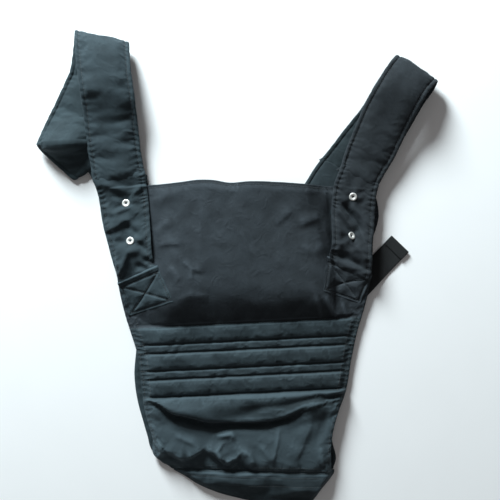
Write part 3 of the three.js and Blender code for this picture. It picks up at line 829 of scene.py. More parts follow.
def strap(name, left, right, half_thickness, rows, seed, wave, bulge=None, crumpled=0.0, pucker_height=0.5):
    """A closed, stitched band between two edge paths, with its pinned weights and its two edges."""
    edge_a, edge_b = path_points(left, rows), path_points(right, rows)
    width = np.linalg.norm(edge_b - edge_a, axis=1)
    near_edge = np.array([0, 1.2, 2.8, 4.6, 6.0, STITCH_INSET, 8.0, 9.6, 12.5]) / width.mean()
    middle_share = np.linspace(near_edge[-1], 1 - near_edge[-1], STRAP_COLUMNS + 3 - 2 * len(near_edge))
    share = np.concatenate([near_edge[:-1], middle_share, 1 - near_edge[-2::-1]])
    middle = lerp(edge_a[:, None], edge_b[:, None], share[None, :, None])
    ahead = np.gradient(middle, axis=0)
    side = np.broadcast_to((edge_b - edge_a)[:, None], middle.shape)
    normal = np.cross(side, ahead)
    normal /= np.linalg.norm(normal, axis=2, keepdims=True)
    inset = np.minimum(share, 1 - share)[None, :] * width[:, None]
    half = half_thickness(inset)
    steps = np.linalg.norm(np.diff(middle[:, STRAP_COLUMNS // 2], axis=0), axis=1)
    length = np.concatenate([[0], np.cumsum(steps)])
    if bulge is not None:
        arch = path_points([(b, 0, 0) for b in bulge], rows)[:, :1] * (1 - (2 * share[None, :] - 1) ** 2)
        middle = middle + normal * arch[..., None]
    along = length[:, None] + np.zeros_like(inset)
    cross = share[None, :] * width[:, None]
    wavy = wave * ripple(along, cross * 0.6, 46, seed) * smoothstep(inset, 0, 12)
    pucker = pucker_height * np.sin(along / 1.35 + 2.5 * ripple(along, cross, 30, seed + 1))
    pucker = pucker * hump(inset, STITCH_INSET, 5)
    crumple = ripple(along, cross * 0.3, 19, seed + 2) * smoothstep(inset, 3, 13)
    wavy = wavy + crumpled * crumple * (0.35 + 0.65 * np.abs(ripple(along, cross, 90, seed + 3)))
    crease = creases(along, 0.6 * along + cross, 34, seed + 7)
    wavy = wavy + 0.8 * crumpled * crease * smoothstep(inset, 6, 12)
    middle = middle + normal * wavy[..., None]
    top = middle + normal * (half + pucker)[..., None]
    low = middle - normal * (half + 0.6 * pucker)[..., None]
    top[:, 0] = low[:, 0] = middle[:, 0]
    top[:, -1] = low[:, -1] = middle[:, -1]
    ring = np.concatenate([top, low[:, -2:0:-1]], axis=1)
    ring_cross = np.concatenate([cross, cross[:, -2:0:-1] + 9], axis=1)
    ring_along = np.broadcast_to(length[:, None], ring_cross.shape)
    uv = np.stack([ring_cross / CLOTH_UNIT, ring_along / CLOTH_UNIT], -1)
    faces = grid_faces(*ring.shape[:2], wrap=True)
    count = ring.shape[1]
    faces.append(list(range(count))[::-1])
    faces.append([(rows - 1) * count + k for k in range(count)])
    stitched = np.concatenate([inset, inset[:, -2:0:-1]], axis=1)
    pinned = 0.85 * (np.abs(stitched - STITCH_INSET) < 1.9) + 0.5 * (stitched < 1.5)
    pinned[:2] = pinned[-2:] = 1.0
    pinned = np.clip(pinned + 0.04, 0, 1)
    made = mesh_object(name, ring.reshape(-1, 3), faces, uv.reshape(-1, 2))
    inner = [face % count >= STRAP_COLUMNS for face in range((rows - 1) * count)] + [False, False]
    made.data.polygons.foreach_set("material_index", np.array(inner, np.int32))
    outward(made)
    return made, pinned.ravel(), (edge_a, edge_b)


# half the thickness of a strap, by the distance in from its edge
padded_half = through([
    (0, 0.5), (2, 1.5), (4.6, 1.8), (6, 1.3), (STITCH_INSET, 0.5), (8, 1.4), (9.6, 2.0), (15, 2.7), (40, 3.1),
])  # fmt: skip
flat_half = through([
    (0, 0.4), (2, 1.2), (4.6, 1.4), (6, 1.1), (STITCH_INSET, 0.4), (8, 1.0), (9.6, 1.3), (20, 1.5), (40, 1.6),
])  # fmt: skip

FOLD = {
    "left": {"at": (-179.8, 145.5), "along": (0.9915, 0.1301)},
    "right": {"at": (182.9, 149.6), "along": (0.878, -0.4787)},
}


def on_fold(side, x, z, back=0.0):
    """The point of a fold line at x, or one set back from it towards the panel."""
    (ax, ay), (dx, dy) = FOLD[side]["at"], FOLD[side]["along"]
    t = (x - ax) / dx
    return (x + back * dy, ay + t * dy - back * dx, z)


# along each loop: its two edge points, and how far its middle stands out from the straight line between them
PLAIN_BULGE = 0.6  # where a station doesn't say
LOOPS = {
    "left": [
        (on_fold("left", -217, 10, 7), on_fold("left", -138, 11, 7)),
        (on_fold("left", -221, 14.5), on_fold("left", -139.5, 14.5)),
        ((-225, 166, 15), (-143, 165, 15)),
        ((-229, 187, 16.5), (-146.5, 187, 16.5)),
        ((-232, 214, 17.5), (-149, 210, 18)),
        ((-235, 248, 23.5), (-151.5, 238, 23.2), 1.0),
        ((-239, 282, 31.5), (-154, 266, 31.5), 2.0),
        ((-244, 320, 31), (-159, 302, 32), 2.0),
        ((-247.5, 350, 23.5), (-162.5, 333, 25), 2.0),
        ((-249, 367, 15), (-164, 349, 17), 1.0),
        ((-250, 370, 10), (-165, 350, 11)),
        ((-252, 356, 4.5), (-167, 336, 5)),
        ((-257.5, 315, 3.6), (-176, 296, 3.6)),
        ((-266, 293, 4), (-186, 266, 3.6)),
        ((-280, 262, 5), (-203, 240, 5)),
        ((-295, 230, 7), (-212, 222, 6), -6),
        ((-307, 201, 10), (-218, 205, 8), -16),
        ((-308, 195, 10), (-218, 198, 8), -18),
        ((-300, 184, 5.5), (-214, 190, 7), -9),
        ((-274, 160, 3.6), (-206, 182, 6), -2),
        ((-254, 143, 3.6), (-200, 177, 7)),
        ((-247, 146, 3.6), (-194, 174, 6)),
        ((-237, 160, 3.6), (-184, 170, 5)),
        ((-229, 153, 3.6), (-170, 167, 4)),
        ((-224, 144.5, 3.6), (-153, 160, 3.6)),
        (on_fold("left", -221, 3.4), on_fold("left", -139.5, 3.4)),
        (on_fold("left", -216, 3.0, 6), on_fold("left", -138, 3.0, 6)),
    ],
    "right": [
        (on_fold("right", 156, 10, 7), on_fold("right", 212, 10, 7)),
        (on_fold("right", 159, 15.5), on_fold("right", 216.5, 14.5)),
        ((163, 176, 16), (228.5, 152, 15)),
        ((170, 196, 18), (241, 172.5, 16.5)),
        ((177, 213, 20), (251, 193.5, 18.5)),
        ((194, 254, 26), (265, 223, 23)),
        ((213.5, 290, 33), (281, 255, 31)),
        ((231.5, 318, 28), (294, 276, 29)),
        ((243, 332, 16), (306, 289, 22)),
        ((244, 332, 8), (309, 291, 12)),
        ((233, 319, 4), (304, 279.5, 4)),
        ((213.5, 290, 8), (288, 257, 3.6)),
        ((193, 254.5, 10), (268, 222, 3.6)),
        ((166.5, 221, 9), (243, 182, 3.6)),
        ((142, 189, 5), (215, 152, 3.6)),
        (on_fold("right", 132, 3.4), on_fold("right", 198.5, 3.4)),
        (on_fold("right", 129, 3.0, 6), on_fold("right", 195, 3.0, 6)),
    ],
}
BACK_ENDS = {
    "left": [
        (on_fold("left", -221, 3.4), on_fold("left", -139.5, 3.4)),
        ((-212, 112, 3.2), (-131, 112, 3.2)),
        ((-205, 80, 3), (-124, 90, 3)),
        ((-196, 50, 3), (-119, 69, 3)),
    ],
    "right": [
        (on_fold("right", 132, 3.4), on_fold("right", 198.5, 3.4)),
        ((118, 158, 3.2), (184, 124, 3.2)),
        ((105, 137, 3.0), (171, 98, 3.0)),
        ((92, 120, 3), (157, 78, 3)),
    ],
}


# the left loop is worn softer than the right
LOOP_FINISH = {
    "left": {"rows": 250, "seed": 11, "wave": 1.3, "crumpled": 1.3, "pucker_height": 0.6},
    "right": {"rows": 180, "seed": 21, "wave": 0.8, "crumpled": 0.5, "pucker_height": 0.35},
}
LOOP_KEEP = {"left": 0.9, "right": 0.5}
strap_edges = {}
loops = {}
for side, finish in LOOP_FINISH.items():
    stations = LOOPS[side]
    left = [s[0] for s in stations]
    right = [s[1] for s in stations]
    bulge = [s[2] if len(s) > 2 else PLAIN_BULGE for s in stations]
    loop, pinned, edges = strap(f"{side}_shoulder_loop", left, right, padded_half, bulge=bulge, **finish)
    settle(loop, pinned, spare=0.035, pressure=1.2, frames=22, cap=3.0, keep=LOOP_KEEP[side])
    above_ground(smoothed(loop))
    layers = [f"{side}_strap_face", f"{side}_strap_foam", f"{side}_strap_lining"]
    dress(loop, STRAP_TWILL[side], None, layers, inner=LINING)
    loops[side] = loop
    strap_edges[side] = edges

    ends = BACK_ENDS[side]
    back_end, _, _ = strap(f"{side}_strap_end", [s[0] for s in ends], [s[1] for s in ends], padded_half, 24,
                           seed=finish["seed"] + 4, wave=0.3)
    above_ground(smoothed(back_end))
    dress(back_end, TWILL, "panel", [f"{side}_strap_back_end"])

# ---------------------------------------------------------------- tabs with the press studs
PATCHES = {
    "left": {"outer": (-184, -16), "inner": (-121, 12), "low_inner": (-93, -46), "low_outer": (-166, -70)},
    "right": {"inner": (139, 26), "outer": (209.5, -4), "low_outer": (190, -50), "low_inner": (131, -30)},
}
# each tab: its edges from the patch up, where they meet the fold, its studs, and its height above the panel
TABS = {
    "left": {
        "outer": [(-176, -32), (-183, -9.5), (-196, 35), (-207, 77), (-213, 116)],
        "inner": [(-116, -8), (-127, 20), (-131, 63), (-134, 104), (-137, 128)],
        "fold_x": (-221, -139.5),
        "studs": {"upper": (-170, 106), "lower": (-163, 48)},
        "clear": 2.4,
    },
    "right": {
        "outer": [(201, -22), (207, 0), (209, 41), (212, 79), (214, 112)],
        "inner": [(147, 6), (142, 26), (146, 46), (145.2, 92), (146.5, 115), (150, 138)],
        "fold_x": (216.5, 159),
        "studs": {"upper": (178.5, 115.5), "lower": (176.7, 56)},
        "clear": 6.0,
    },
}
TAB_FOLDS = {
    "left": [
        ([(-212, 134), (-192, 130), (-168, 122)], 3.6, 7, 4),
        ([(-142, 132), (-153, 124), (-166, 113)], 3.2, 4, 6),
        ([(-206, 62), (-186, 69), (-160, 85)], 5.5, 13, 4),
        ([(-192, 88), (-176, 94), (-158, 101)], 2.0, 4, 3),
        ([(-178, 76), (-164, 68), (-148, 55)], -4.0, 4, 5),
        ([(-150, 47), (-142, 38), (-136, 30)], -5.0, 4, 5),
        ([(-178, -4), (-171, 18), (-166, 30), (-146, 33)], 5.0, 7, 5),
        ([(-190, 24), (-180, 4), (-176, -14)], 3.4, 5, 5),
        ([(-144, 22), (-134, 16), (-122, 10)], -6.0, 4, 4),
        ([(-156, 12), (-144, 8), (-132, 2)], -4.0, 4, 4),
        ([(-204, 104), (-196, 92), (-186, 86)], 2.4, 4, 4),
    ],
    "right": [
        ([(150, 104), (164, 86), (180, 62)], 4.6, 6, 4),
        ([(160, 109), (176, 88), (188, 70), (197, 46)], -6.0, 4, 3),
        ([(176, 104), (192, 84), (204, 60)], 3.8, 5, 4),
        ([(168, 72), (176, 60), (184, 44)], -3.0, 3, 3),
        ([(182, 42), (192, 28), (200, 14)], 3.0, 5, 4),
        ([(160, 44), (164, 32), (176, 20)], -3.0, 4, 4),
        ([(148, 30), (170, 20), (204, 3)], -7.0, 6, 5),
        ([(150, 84), (158, 66), (160, 48)], 2.4, 4, 4),
    ],
}
TAB_ROWS = 84
PAST_FOLD = 5  # how far a tab runs on past its fold line
HINGE_HEIGHT = 17.0
stud_places = []
tabs = {}
for side, spec in TABS.items():
    ends = [on_fold(side, x, 0, -PAST_FOLD)[:2] for x in spec["fold_x"]]
    outer, inner = np.array(spec["outer"] + ends[:1]), np.array(spec["inner"] + ends[1:])
    edges = []
    for edge in (outer, inner) if side == "left" else (inner, outer):
        edges.append(path_points(np.column_stack([edge, np.zeros(len(edge))]), TAB_ROWS))
    tab, pinned, _ = strap(f"{side}_stud_tab", *edges, flat_half, TAB_ROWS, seed=31, wave=0.0,
                           pucker_height=0.8)
    points = points_of(tab)
    under = panel_top.tops(points[:, 0], points[:, 1], 8.0)
    v = np.repeat(np.linspace(0, 1, TAB_ROWS), len(points) // TAB_ROWS)
    lying = under + spec["clear"]
    lying = np.maximum(lying - 6.0 * (1 - smoothstep(v, 0.02, 0.16)), 6.0)
    lift = lerp(lying, HINGE_HEIGHT, smoothstep(v, 0.72, 1.0))
    bulge = 4.5 * hump(v, 0.33, 0.13)
    lift = lift + bulge - 1.2 * smoothstep(v, 0.96, 1.0)
    gather = np.zeros(len(points))
    for name, (sx, sy) in spec["studs"].items():
        away = np.hypot(points[:, 0] - sx, points[:, 1] - sy)
        turn = np.arctan2(points[:, 1] - sy, points[:, 0] - sx)
        gather -= 1.4 * hump(away, 0, 10)
        gather += 1.0 * np.sin(5 * turn + sx) * hump(away, 16, 10)
    for path, rise, before, after in TAB_FOLDS[side]:
        gather += ridge(points[:, 0], points[:, 1], path, rise, before, after)
    points[:, 2] += lift + gather * (1 - smoothstep(v, 0.9, 1.0))
    set_points(tab, points)
    settle(tab, pinned, spare=0.04, pressure=0.5, frames=18, cap=2.0, keep=0.4)
    smoothed(tab)
    dress(tab, STRAP_TWILL[side], "panel", [f"{side}_tab_face", f"{side}_tab_lining"])
    tabs[side] = tab
    stud_places += [(f"{side}_{name}", at) for name, at in spec["studs"].items()]

# ---------------------------------------------------------------- anchor patches
BOX_U, BOX_V = (0.07, 0.93), (0.09, 0.83)  # the stitched box, in shares of the patch
patches = {}
for side, spec in PATCHES.items():
    near, far = ("outer", "inner") if side == "left" else ("inner", "outer")
    corners = [np.array(spec[c], float) for c in (near, far, f"low_{far}", f"low_{near}")]
    top_a, top_b, low_b, low_a = corners
    u, v = np.meshgrid(np.linspace(0, 1, 46), np.linspace(0, 1, 40))
    low = lerp(low_a, low_b, u[..., None])
    top = lerp(top_a, top_b, u[..., None])
    flat = lerp(low, top, v[..., None])
    x, y = flat[..., 0], flat[..., 1]
    under = panel_top.tops(x, y, 7.0)
    inner_side = (1 - u) if side == "left" else u
    sewn_down = smoothstep(v, -0.02, 0.08) * smoothstep(inner_side, -0.02, 0.08)
    z = under - 0.9 + 2.4 * sewn_down + 2.8 * smoothstep(v, 0.6, 0.95) * smoothstep(inner_side, 0.0, 0.2)
    stitched = np.full(x.shape, 1e9)
    a, b = (u - BOX_U[0]) / (BOX_U[1] - BOX_U[0]), (v - BOX_V[0]) / (BOX_V[1] - BOX_V[0])
    in_box = (a > -0.03) & (a < 1.03) & (b > -0.03) & (b < 1.03)
    for distance in (np.abs(a) * 62, np.abs(a - 1) * 62, np.abs(b) * 42, np.abs(b - 1) * 42,
                     np.abs(a - b) * 36, np.abs(a + b - 1) * 36):
        stitched = np.minimum(stitched, np.where(in_box, distance, 1e9))
    z += 1.5 * (1 - hump(stitched, 0, 7)) * in_box - 2.0 * hump(stitched, 0, 1.4)
    z += 2.2 * hump((v - 0.955) * 62, 0, 2.8)  # the rolled edge
    z -= 2.6 * smoothstep(v, 0.965, 1.0)
    z += 0.35 * ripple(x, y, 18, 8)
    patch = smoothed(plan_cloth(f"{side}_patch", x, y, z, rubbed_folds(z, 0.2)), 1.2)
    dress(patch, STRAP_TWILL[side], "panel", [f"{side}_anchor_patch", f"{side}_patch_rolled_edge"])
    patches[side] = (patch, corners)


# ---------------------------------------------------------------- press studs
STUD_SIDES = 40


def lathe(profile, at, tilt=(0.0, 0.0)):
    """A ring of revolution about +Z through at, from a closed (radius, height) profile, tilted by slopes."""
    angle = np.linspace(0, 2 * math.pi, STUD_SIDES, endpoint=False)
    ring = np.array([[(r * math.cos(t), r * math.sin(t), h) for r, h in profile] for t in angle])
    turn = Vector((0, 0, 1)).rotation_difference(Vector((-tilt[0], -tilt[1], 1)))
    ring = ring @ np.array(turn.to_matrix()).T + np.array(at)
    rows, columns = len(angle), len(profile)
    index = np.arange(rows * columns).reshape(rows, columns)
    faces = []
    for i in range(rows):
        for j in range(columns):
            faces.append([index[i, j], index[(i + 1) % rows, j], index[(i + 1) % rows, (j + 1) % columns],
                          index[i, (j + 1) % columns]])
    return ring.reshape(-1, 3), faces


EYELET = [
    (1.7, -2.2), (2.5, -2.2), (2.5, -0.5), (5.9, -0.5), (6.2, -0.2), (6.15, 0.3), (5.6, 0.75),
    (4.4, 0.95), (3.5, 0.7), (2.9, 0.25), (2.1, 0.1), (1.7, -0.4),
]  # fmt: skip
STUD = [(0.6, -5.6), (1.7, -5.6), (2.3, -4.9), (2.0, -3.4), (5.2, -3.3), (5.2, -2.7), (0.6, -2.7)]
SOCKET = [(2.6, -7.0), (6.0, -7.0), (6.0, -6.2), (4.4, -4.4), (2.6, -4.4)]
CAP = [(0.7, -0.9), (5.6, -0.9), (6.2, -0.5), (6.0, 0.0), (2.2, 0.0), (2.2, 0.8), (0.7, 0.8)]
tab_tops = Surface(tabs["left"], tabs["right"])
step = 5.0  # how far apart the cloth's height is read on each side of a stud
for name, (sx, sy) in stud_places:
    here = tab_tops.top(sx, sy)
    tilt = ((tab_tops.top(sx + step, sy) - tab_tops.top(sx - step, sy)) / (2 * step),
            (tab_tops.top(sx, sy + step) - tab_tops.top(sx, sy - step)) / (2 * step))
    tipped = name == "right_lower"  # by the fold beside it
    if tipped:
        tilt = (-0.7, -0.4)
    around = [tab_tops.top(sx + 4 * math.cos(a), sy + 4 * math.sin(a)) for a in np.linspace(0, 6.28, 9)]
    cloth_height = max(np.mean(around), here)
    eyelet_height = cloth_height + (2.4 if tipped else 0.5)
    parts = [lathe(EYELET, (sx, sy, eyelet_height), tilt)]
    parts += [lathe(p, (sx, sy, min(eyelet_height, cloth_height + 0.5))) for p in (STUD, SOCKET)]
    parts.append(lathe(CAP, (sx, sy, max(eyelet_height - 12.0, 7.4))))
    points = np.vstack([p for p, _ in parts])
    faces = []
    start = 0
    for part_points, part_faces in parts:
        faces += [[int(start + k) for k in f] for f in part_faces]
        start += len(part_points)
    stud = outward(mesh_object(f"{name}_press_stud", points, faces))
    rounder = stud.modifiers.new("smooth", "SUBSURF")
    rounder.levels = rounder.render_levels = 1
    apply_modifiers(stud)
    dress(stud, NICKEL, "panel", [f"{name}_{part}" for part in ("eyelet", "stud", "socket", "cap")])

# ---------------------------------------------------------------- back panel
BACK_TOP_Y = -118.0
u, v = np.meshgrid(np.linspace(0, 1, 70), np.linspace(0, 1, 60))
y = lerp(hem(0), BACK_TOP_Y, v)
x = lerp(back_left(y), back_right(y), u)
inward = np.minimum(x - back_left(y), back_right(y) - x)
z = 2.4 + 1.0 * hump(inward, 4, 4) + 0.25 * ripple(x, y, 40, 9)
z += 0.5 * np.sin(y / 2.2 + ripple(x, y, 50, 10)) * hump(inward, 7, 4)
z -= 1.2 * hump(inward, 0, 1.6)
back = smoothed(plan_cloth("back_panel_cloth", x, y, z), 1.6)
dress(back, TWILL, "panel", ["back_panel"])
back_width = float((back_right(y[:, 0]) - back_left(y[:, 0])).mean()) * MM

# ---------------------------------------------------------------- waistband
waist_low = through([
    (-98, -306), (-80, -316), (-63, -327), (-34, -340), (12, -352.5), (59, -363), (98, -369.5), (110, -364),
    (122, -349), (134, -333), (146, -318), (153, -307),
])  # fmt: skip


WAIST_LEFT, WAIST_RIGHT = -98.0, 151.0


def waistband():
    u, v = np.meshgrid(np.linspace(0, 1, 96), np.linspace(0, 1, 30))
    x = lerp(WAIST_LEFT, WAIST_RIGHT, u)
    y = lerp(waist_low(x), hem(x) + 3, v)
    below = hem(x) - y
    rim = np.minimum(y - waist_low(x), np.minimum(x - WAIST_LEFT, WAIST_RIGHT - x) * 0.8)
    full = smoothstep(x, -95, -10) * (1 - 0.25 * smoothstep(x, 130, 150))
    flat_to = lerp(8, 27, smoothstep(x, 45, 105))
    z = 1.6 + 4.4 * np.sqrt(smoothstep(rim, 0, 12))
    z += (2.0 + 7.9 * full) * smoothstep(below, 46, flat_to) * smoothstep(rim, 0, 10)
    seat_hem = panel_height(x, hem(x) + 0.5) - 0.7
    z = lerp(z, seat_hem, smoothstep(below, 5, 0))  # its top edge lies in the seat's hem
    for line in (2.5, 9.5, 23.0):
        wobble = 0.8 * ripple(x, y, 60, 12)
        z -= 0.8 * hump(below - line, wobble, 1.3) * smoothstep(rim, 2, 8)
    z += 0.35 * ripple(x, y * 1.6, 34, 13) * smoothstep(rim, 2, 14)
    z += ridge(x, y, [(-40, -318), (10, -326), (60, -334)], 2.2, 6, 8)
    z += ridge(x, y, [(40, -345), (80, -342), (118, -330)], 2.2, 7, 5)
    pinned = (rim < 1.5) * 1.0 + (below < 3) * 1.0
    # lighter cloth: wear on sharp folds, and a painted highlight along the band's top edge under the seat's
    # hem
    made = plan_cloth("waistband_cloth", x, y, z, rubbed_folds(z) + 0.3 * smoothstep(below, 12, 8))
    pinned = np.clip(pinned.ravel() + 0.06, 0, 1)
    settle(made, pinned, spare=0.03, pressure=0.4, frames=16, cap=1.5, keep=0.45)
    return above_ground(smoothed(made, 1.5))


waist = waistband()
dress(waist, TWILL, None, ["waistband_face", "waistband_foam", "waistband_lining"])

# ---------------------------------------------------------------- webbing
WEBBING_RUN = np.array([0.692, 0.722])
WEBBING_FOLD = np.array([224.8, 14.2])
WEBBING_HALF = 18.7


def webbing(name, stations, rows):
    """A length of tape; each station is how far along from its fold line, and how high."""
    share = np.linspace(0, 1, 11)
    side = np.array([-WEBBING_RUN[1], WEBBING_RUN[0]])
    spine = path_points([(*(WEBBING_FOLD + s * WEBBING_RUN), z) for s, z in stations], rows)
    offset = (1 - 2 * share) * WEBBING_HALF
    grid = spine[:, None] + np.concatenate([side, [0]])[None, None] * offset[None, :, None]
    length = np.concatenate([[0], np.cumsum(np.linalg.norm(np.diff(spine, axis=0), axis=1))])
    uv = np.stack(np.meshgrid(share * 2 * WEBBING_HALF / CLOTH_UNIT, length / CLOTH_UNIT), -1)
    made = mesh_object(name, grid.reshape(-1, 3), grid_faces(rows, len(share)), uv.reshape(-1, 2))
    return smoothed(made, 0.9)


root = webbing("webbing_root_tape", [
    (-100, 7.2), (-75, 7.2), (-45, 6.8), (-24, 3.6), (-8, 1.9), (0, 1.7),
], 40)  # fmt: skip
dress(root, TAPE, "panel", ["webbing_root"])
end = webbing("webbing_end_tape", [
    (-1.2, 1.4), (0.5, 1.7), (12, 1.9), (26, 1.9), (36, 1.9), (39.5, 2.1), (40, 2.4), (39.5, 2.7),
    (36, 2.8), (27, 2.7), (24, 2.2),
], 60)  # fmt: skip
dress(end, TAPE, "webbing_tail", ["webbing_end", "webbing_end_turn"])

# ---------------------------------------------------------------- stitches


def stitch_node_group():
    """Stitches of one length laid at a pitch along the curves they are given."""
    tree = bpy.data.node_groups.new("stitches", "GeometryNodeTree")
    tree.interface.new_socket("Geometry", in_out="INPUT", socket_type="NodeSocketGeometry")
    for name in ("Pitch", "Length", "Radius"):
        tree.interface.new_socket(name, in_out="INPUT", socket_type="NodeSocketFloat")
    tree.interface.new_socket("Thread", in_out="INPUT", socket_type="NodeSocketMaterial")
    tree.interface.new_socket("Geometry", in_out="OUTPUT", socket_type="NodeSocketGeometry")
    nodes, links = tree.nodes, tree.links
    given, result = nodes.new("NodeGroupInput"), nodes.new("NodeGroupOutput")
    points = nodes.new("GeometryNodeCurveToPoints")
    points.mode = "LENGTH"
    bead = nodes.new("GeometryNodeMeshUVSphere")
    bead.inputs["Segments"].default_value = 8
    bead.inputs["Rings"].default_value = 6
    bead.inputs["Radius"].default_value = 0.5
    size = nodes.new("ShaderNodeCombineXYZ")
    wide = nodes.new("ShaderNodeMath")
    wide.operation = "MULTIPLY"
    wide.inputs[1].default_value = 2
    stretch = nodes.new("GeometryNodeTransform")
    place = nodes.new("GeometryNodeInstanceOnPoints")
    aim = nodes.new("FunctionNodeAlignRotationToVector")
    aim.axis = "Z"
    realize = nodes.new("GeometryNodeRealizeInstances")
    smooth = nodes.new("GeometryNodeSetShadeSmooth")
    finish = nodes.new("GeometryNodeSetMaterial")
    links.new(given.outputs["Geometry"], points.inputs["Curve"])
    links.new(given.outputs["Pitch"], points.inputs["Length"])
    links.new(given.outputs["Radius"], wide.inputs[0])
    links.new(wide.outputs[0], size.inputs["X"])
    links.new(wide.outputs[0], size.inputs["Y"])
    links.new(given.outputs["Length"], size.inputs["Z"])
    links.new(bead.outputs["Mesh"], stretch.inputs["Geometry"])
    links.new(size.outputs[0], stretch.inputs["Scale"])
    links.new(points.outputs["Points"], place.inputs["Points"])
    links.new(points.outputs["Tangent"], aim.inputs["Vector"])
    links.new(stretch.outputs["Geometry"], place.inputs["Instance"])
    links.new(aim.outputs["Rotation"], place.inputs["Rotation"])
    links.new(place.outputs["Instances"], realize.inputs["Geometry"])
    links.new(realize.outputs["Geometry"], smooth.inputs["Geometry"])
    links.new(smooth.outputs["Geometry"], finish.inputs["Geometry"])
    links.new(given.outputs["Thread"], finish.inputs["Material"])
    links.new(finish.outputs["Geometry"], result.inputs[0])
    return tree


STITCHING = stitch_node_group()


def stitches(name, lines):
    """lines are lists of points in millimetres; returns one mesh of thread stitches along all of them."""
    curve = bpy.data.curves.new(name + "_line", "CURVE")
    curve.dimensions = "3D"
    for line in lines:
        if len(line) < 2:
            continue
        spline = curve.splines.new("POLY")
        spline.points.add(len(line) - 1)
        for point, (x, y, z) in zip(spline.points, line):
            point.co = (x * MM, y * MM, z * MM, 1)
    made = bpy.data.objects.new(name + "_line", curve)
    bpy.context.scene.collection.objects.link(made)
    sewing = made.modifiers.new("stitches", "NODES")
    sewing.node_group = STITCHING
    sizes = {key.capitalize(): size * MM for key, size in STITCH.items()}
    for socket in STITCHING.interface.items_tree:
        if socket.in_out == "INPUT" and socket.name in sizes:
            sewing[socket.identifier] = sizes[socket.name]
        elif socket.name == "Thread":
            sewing[socket.identifier] = THREAD
    mesh = bpy.data.meshes.new_from_object(made.evaluated_get(bpy.context.evaluated_depsgraph_get()))
    mesh.name = name
    bpy.data.objects.remove(made)
    result = bpy.data.objects.new(name, mesh)
    bpy.context.scene.collection.objects.link(result)
    return result


LAID_SPACING = 2.0


def laid(surface, line, proud=0.15):
    """A plan line laid on a surface, a little proud of it; it skips what lies beside the surface."""
    done = []
    for (ax, ay), (bx, by) in zip(line, line[1:]):
        count = max(1, int(math.dist((ax, ay), (bx, by)) / LAID_SPACING))
        for k in range(count):
            x, y = lerp(ax, bx, k / count), lerp(ay, by, k / count)
            z = surface.top(x, y, -1e9)
            if z > -1e8:
                done.append((x, y, z + proud))
    return done


def plan_line(y_of_x, low, high):
    return [(x, float(y_of_x(x))) for x in np.linspace(low, high, 60)]


def patch_point(corners, u, v):
    """The plan point at shares u across and v up a patch."""
    top_a, top_b, low_b, low_a = corners
    return tuple(lerp(lerp(low_a, low_b, u), lerp(top_a, top_b, u), v))


def inset_line(points, by):
    """A plan line moved sideways, to the right of the way it runs."""
    p = np.array(points, float)
    t = np.gradient(p, axis=0)
    t /= np.linalg.norm(t, axis=1, keepdims=True)
    return (p + by * np.column_stack([t[:, 1], -t[:, 0]])).tolist()


panel_lines = []
for seam_y in SEAMS:
    seam = level(seam_y)
    low, high = float(panel_left(seam_y)) + 3, float(panel_right(seam_y)) - 3
    panel_lines.append(laid(panel_top, plan_line(seam, low, high)))
panel_lines.append(laid(panel_top, plan_line(lambda x: bib_top(x) - 4.5, -134, 142)))
for edge, sign in ((panel_left, 1), (panel_right, -1)):
    for inset in (4.0, 14.0):
        ys = np.linspace(-72, -196, 60)
        panel_lines.append(laid(panel_top, [(float(edge(y)) + sign * inset, y) for y in ys]))
    ys = np.linspace(-200, -296, 40)
    panel_lines.append(laid(panel_top, [(float(edge(y)) + sign * 4, y) for y in ys]))
for above in (1.5, 6.0):
    panel_lines.append(laid(panel_top, plan_line(lambda x: hem(x) + above, -58, 143)))
for patch, corners in patches.values():
    patch_top = Surface(patch)
    a, b = (patch_point(corners, u, BOX_V[0]) for u in BOX_U)
    d, c = (patch_point(corners, u, BOX_V[1]) for u in BOX_U)
    for line in ([a, b, c, d, a], [a, c], [b, d]):
        panel_lines.append(laid(patch_top, line, 0.1))
for side, tab in tabs.items():
    tab_top = Surface(tab)
    spec = TABS[side]
    for key, sign in (("outer", 1), ("inner", -1)):
        edge = path_points(np.column_stack([np.array(spec[key]), np.zeros(len(spec[key]))]), 60)[8:, :2]
        inward = sign if side == "left" else -sign
        panel_lines.append(laid(tab_top, inset_line(edge, inward * STITCH_INSET), 0.1))
panel_stitches = stitches("panel_stitches", panel_lines)
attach(panel_stitches, "panel")

waist_top = Surface(waist)
waist_lines = [laid(waist_top, plan_line(lambda x: hem(x) - below, low, high))
               for below, low, high in ((2.5, -90, 148), (9.5, -80, 146), (23.0, 20, 136))]
waist_stitches = stitches("waistband_stitches", waist_lines)

loop_stitches = {}
for side, loop in loops.items():
    loop_top = Surface(loop)
    edge_a, edge_b = strap_edges[side]
    upper = slice(3, int(len(edge_a) * (0.36 if side == "left" else 0.46)))
    lines = []
    for edge, sign in ((edge_a, 1), (edge_b, -1)):
        lines.append(laid(loop_top, inset_line(edge[upper, :2], sign * STITCH_INSET), 0.1))
    cross = [lerp(edge_a[4], edge_b[4], t)[:2] for t in np.linspace(0.06, 0.94, 30)]
    lines.append(laid(loop_top, cross, 0.1))
    loop_stitches[side] = stitches(f"{side}_loop_stitches", lines)
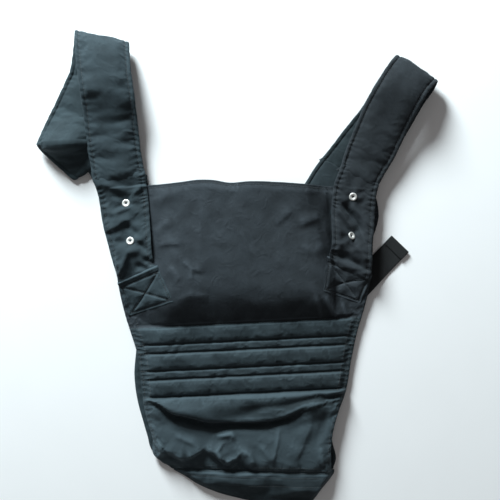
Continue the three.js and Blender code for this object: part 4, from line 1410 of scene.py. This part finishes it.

# ---------------------------------------------------------------- the loops, their stitches and the waistband: their placement is baked into their meshes
FOLD_HEIGHT = 0.022
BLEND_WIDTH = 0.035
for side in ("left", "right"):
    (ax, ay), (dx, dy) = FOLD[side]["at"], FOLD[side]["along"]
    start = Vector((ax * MM, ay * MM, FOLD_HEIGHT))
    end = start + Vector((-dy, dx, 0)) * BLEND_WIDTH
    for piece in (loops[side], loop_stitches[side]):
        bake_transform(piece)
for piece in (waist, waist_stitches):
    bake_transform(piece)


# ---------------------------------------------------------------- ground, light and camera
def ground():
    material, tree, shader = new_material("pale_ground")
    where = add_node(tree, "ShaderNodeTexCoord").outputs["Object"]
    grain = add_node(tree, "ShaderNodeTexNoise", Vector=where, Scale=14.0, Detail=3.0)
    tone = mix_colour(tree, grain.outputs["Fac"], (0.94,) * 3, (0.97,) * 3)
    set_inputs(tree, shader, {"Base Color": tone, "Roughness": 0.9})
    bpy.ops.mesh.primitive_plane_add(size=12, location=(0, 0, -0.0005))
    floor = bpy.context.object
    floor.name = "ground"
    floor.data.materials.append(material)
    floor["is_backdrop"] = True


def area_light(name, toward, distance, size, power, colour=(1, 1, 1)):
    light = bpy.data.lights.new(name, "AREA")
    light.shape = "DISK"
    light.size = size
    light.energy = power
    light.color = colour
    made = bpy.data.objects.new(name, light)
    made.location = Vector(toward).normalized() * distance
    made.rotation_euler = Vector(toward).to_track_quat("Z", "Y").to_euler()
    bpy.context.scene.collection.objects.link(made)


def camera():
    data = bpy.data.cameras.new("above")
    data.sensor_width = SENSOR_WIDTH
    data.lens = SENSOR_WIDTH * CAMERA_HEIGHT / VIEW_WIDTH
    made = bpy.data.objects.new("above", data)
    made.location = (*VIEW_CENTRE, CAMERA_HEIGHT)
    bpy.context.scene.collection.objects.link(made)
    bpy.context.scene.camera = made


ground()
area_light("window", (-0.42, 0.95, 0.41), 2.6, 0.9, 175, (0.89, 1.0, 1.04))
area_light("room", (0.3, -0.3, 1.0), 3.0, 3.0, 3)
bpy.context.scene.view_settings.view_transform = "Standard"
world = bpy.data.worlds.new("studio")
world.use_nodes = True
background = world.node_tree.nodes["Background"]
background.inputs["Color"].default_value = (1.0, 0.98, 0.98, 1)
background.inputs["Strength"].default_value = 0.14
bpy.context.scene.world = world
camera()

low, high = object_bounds()
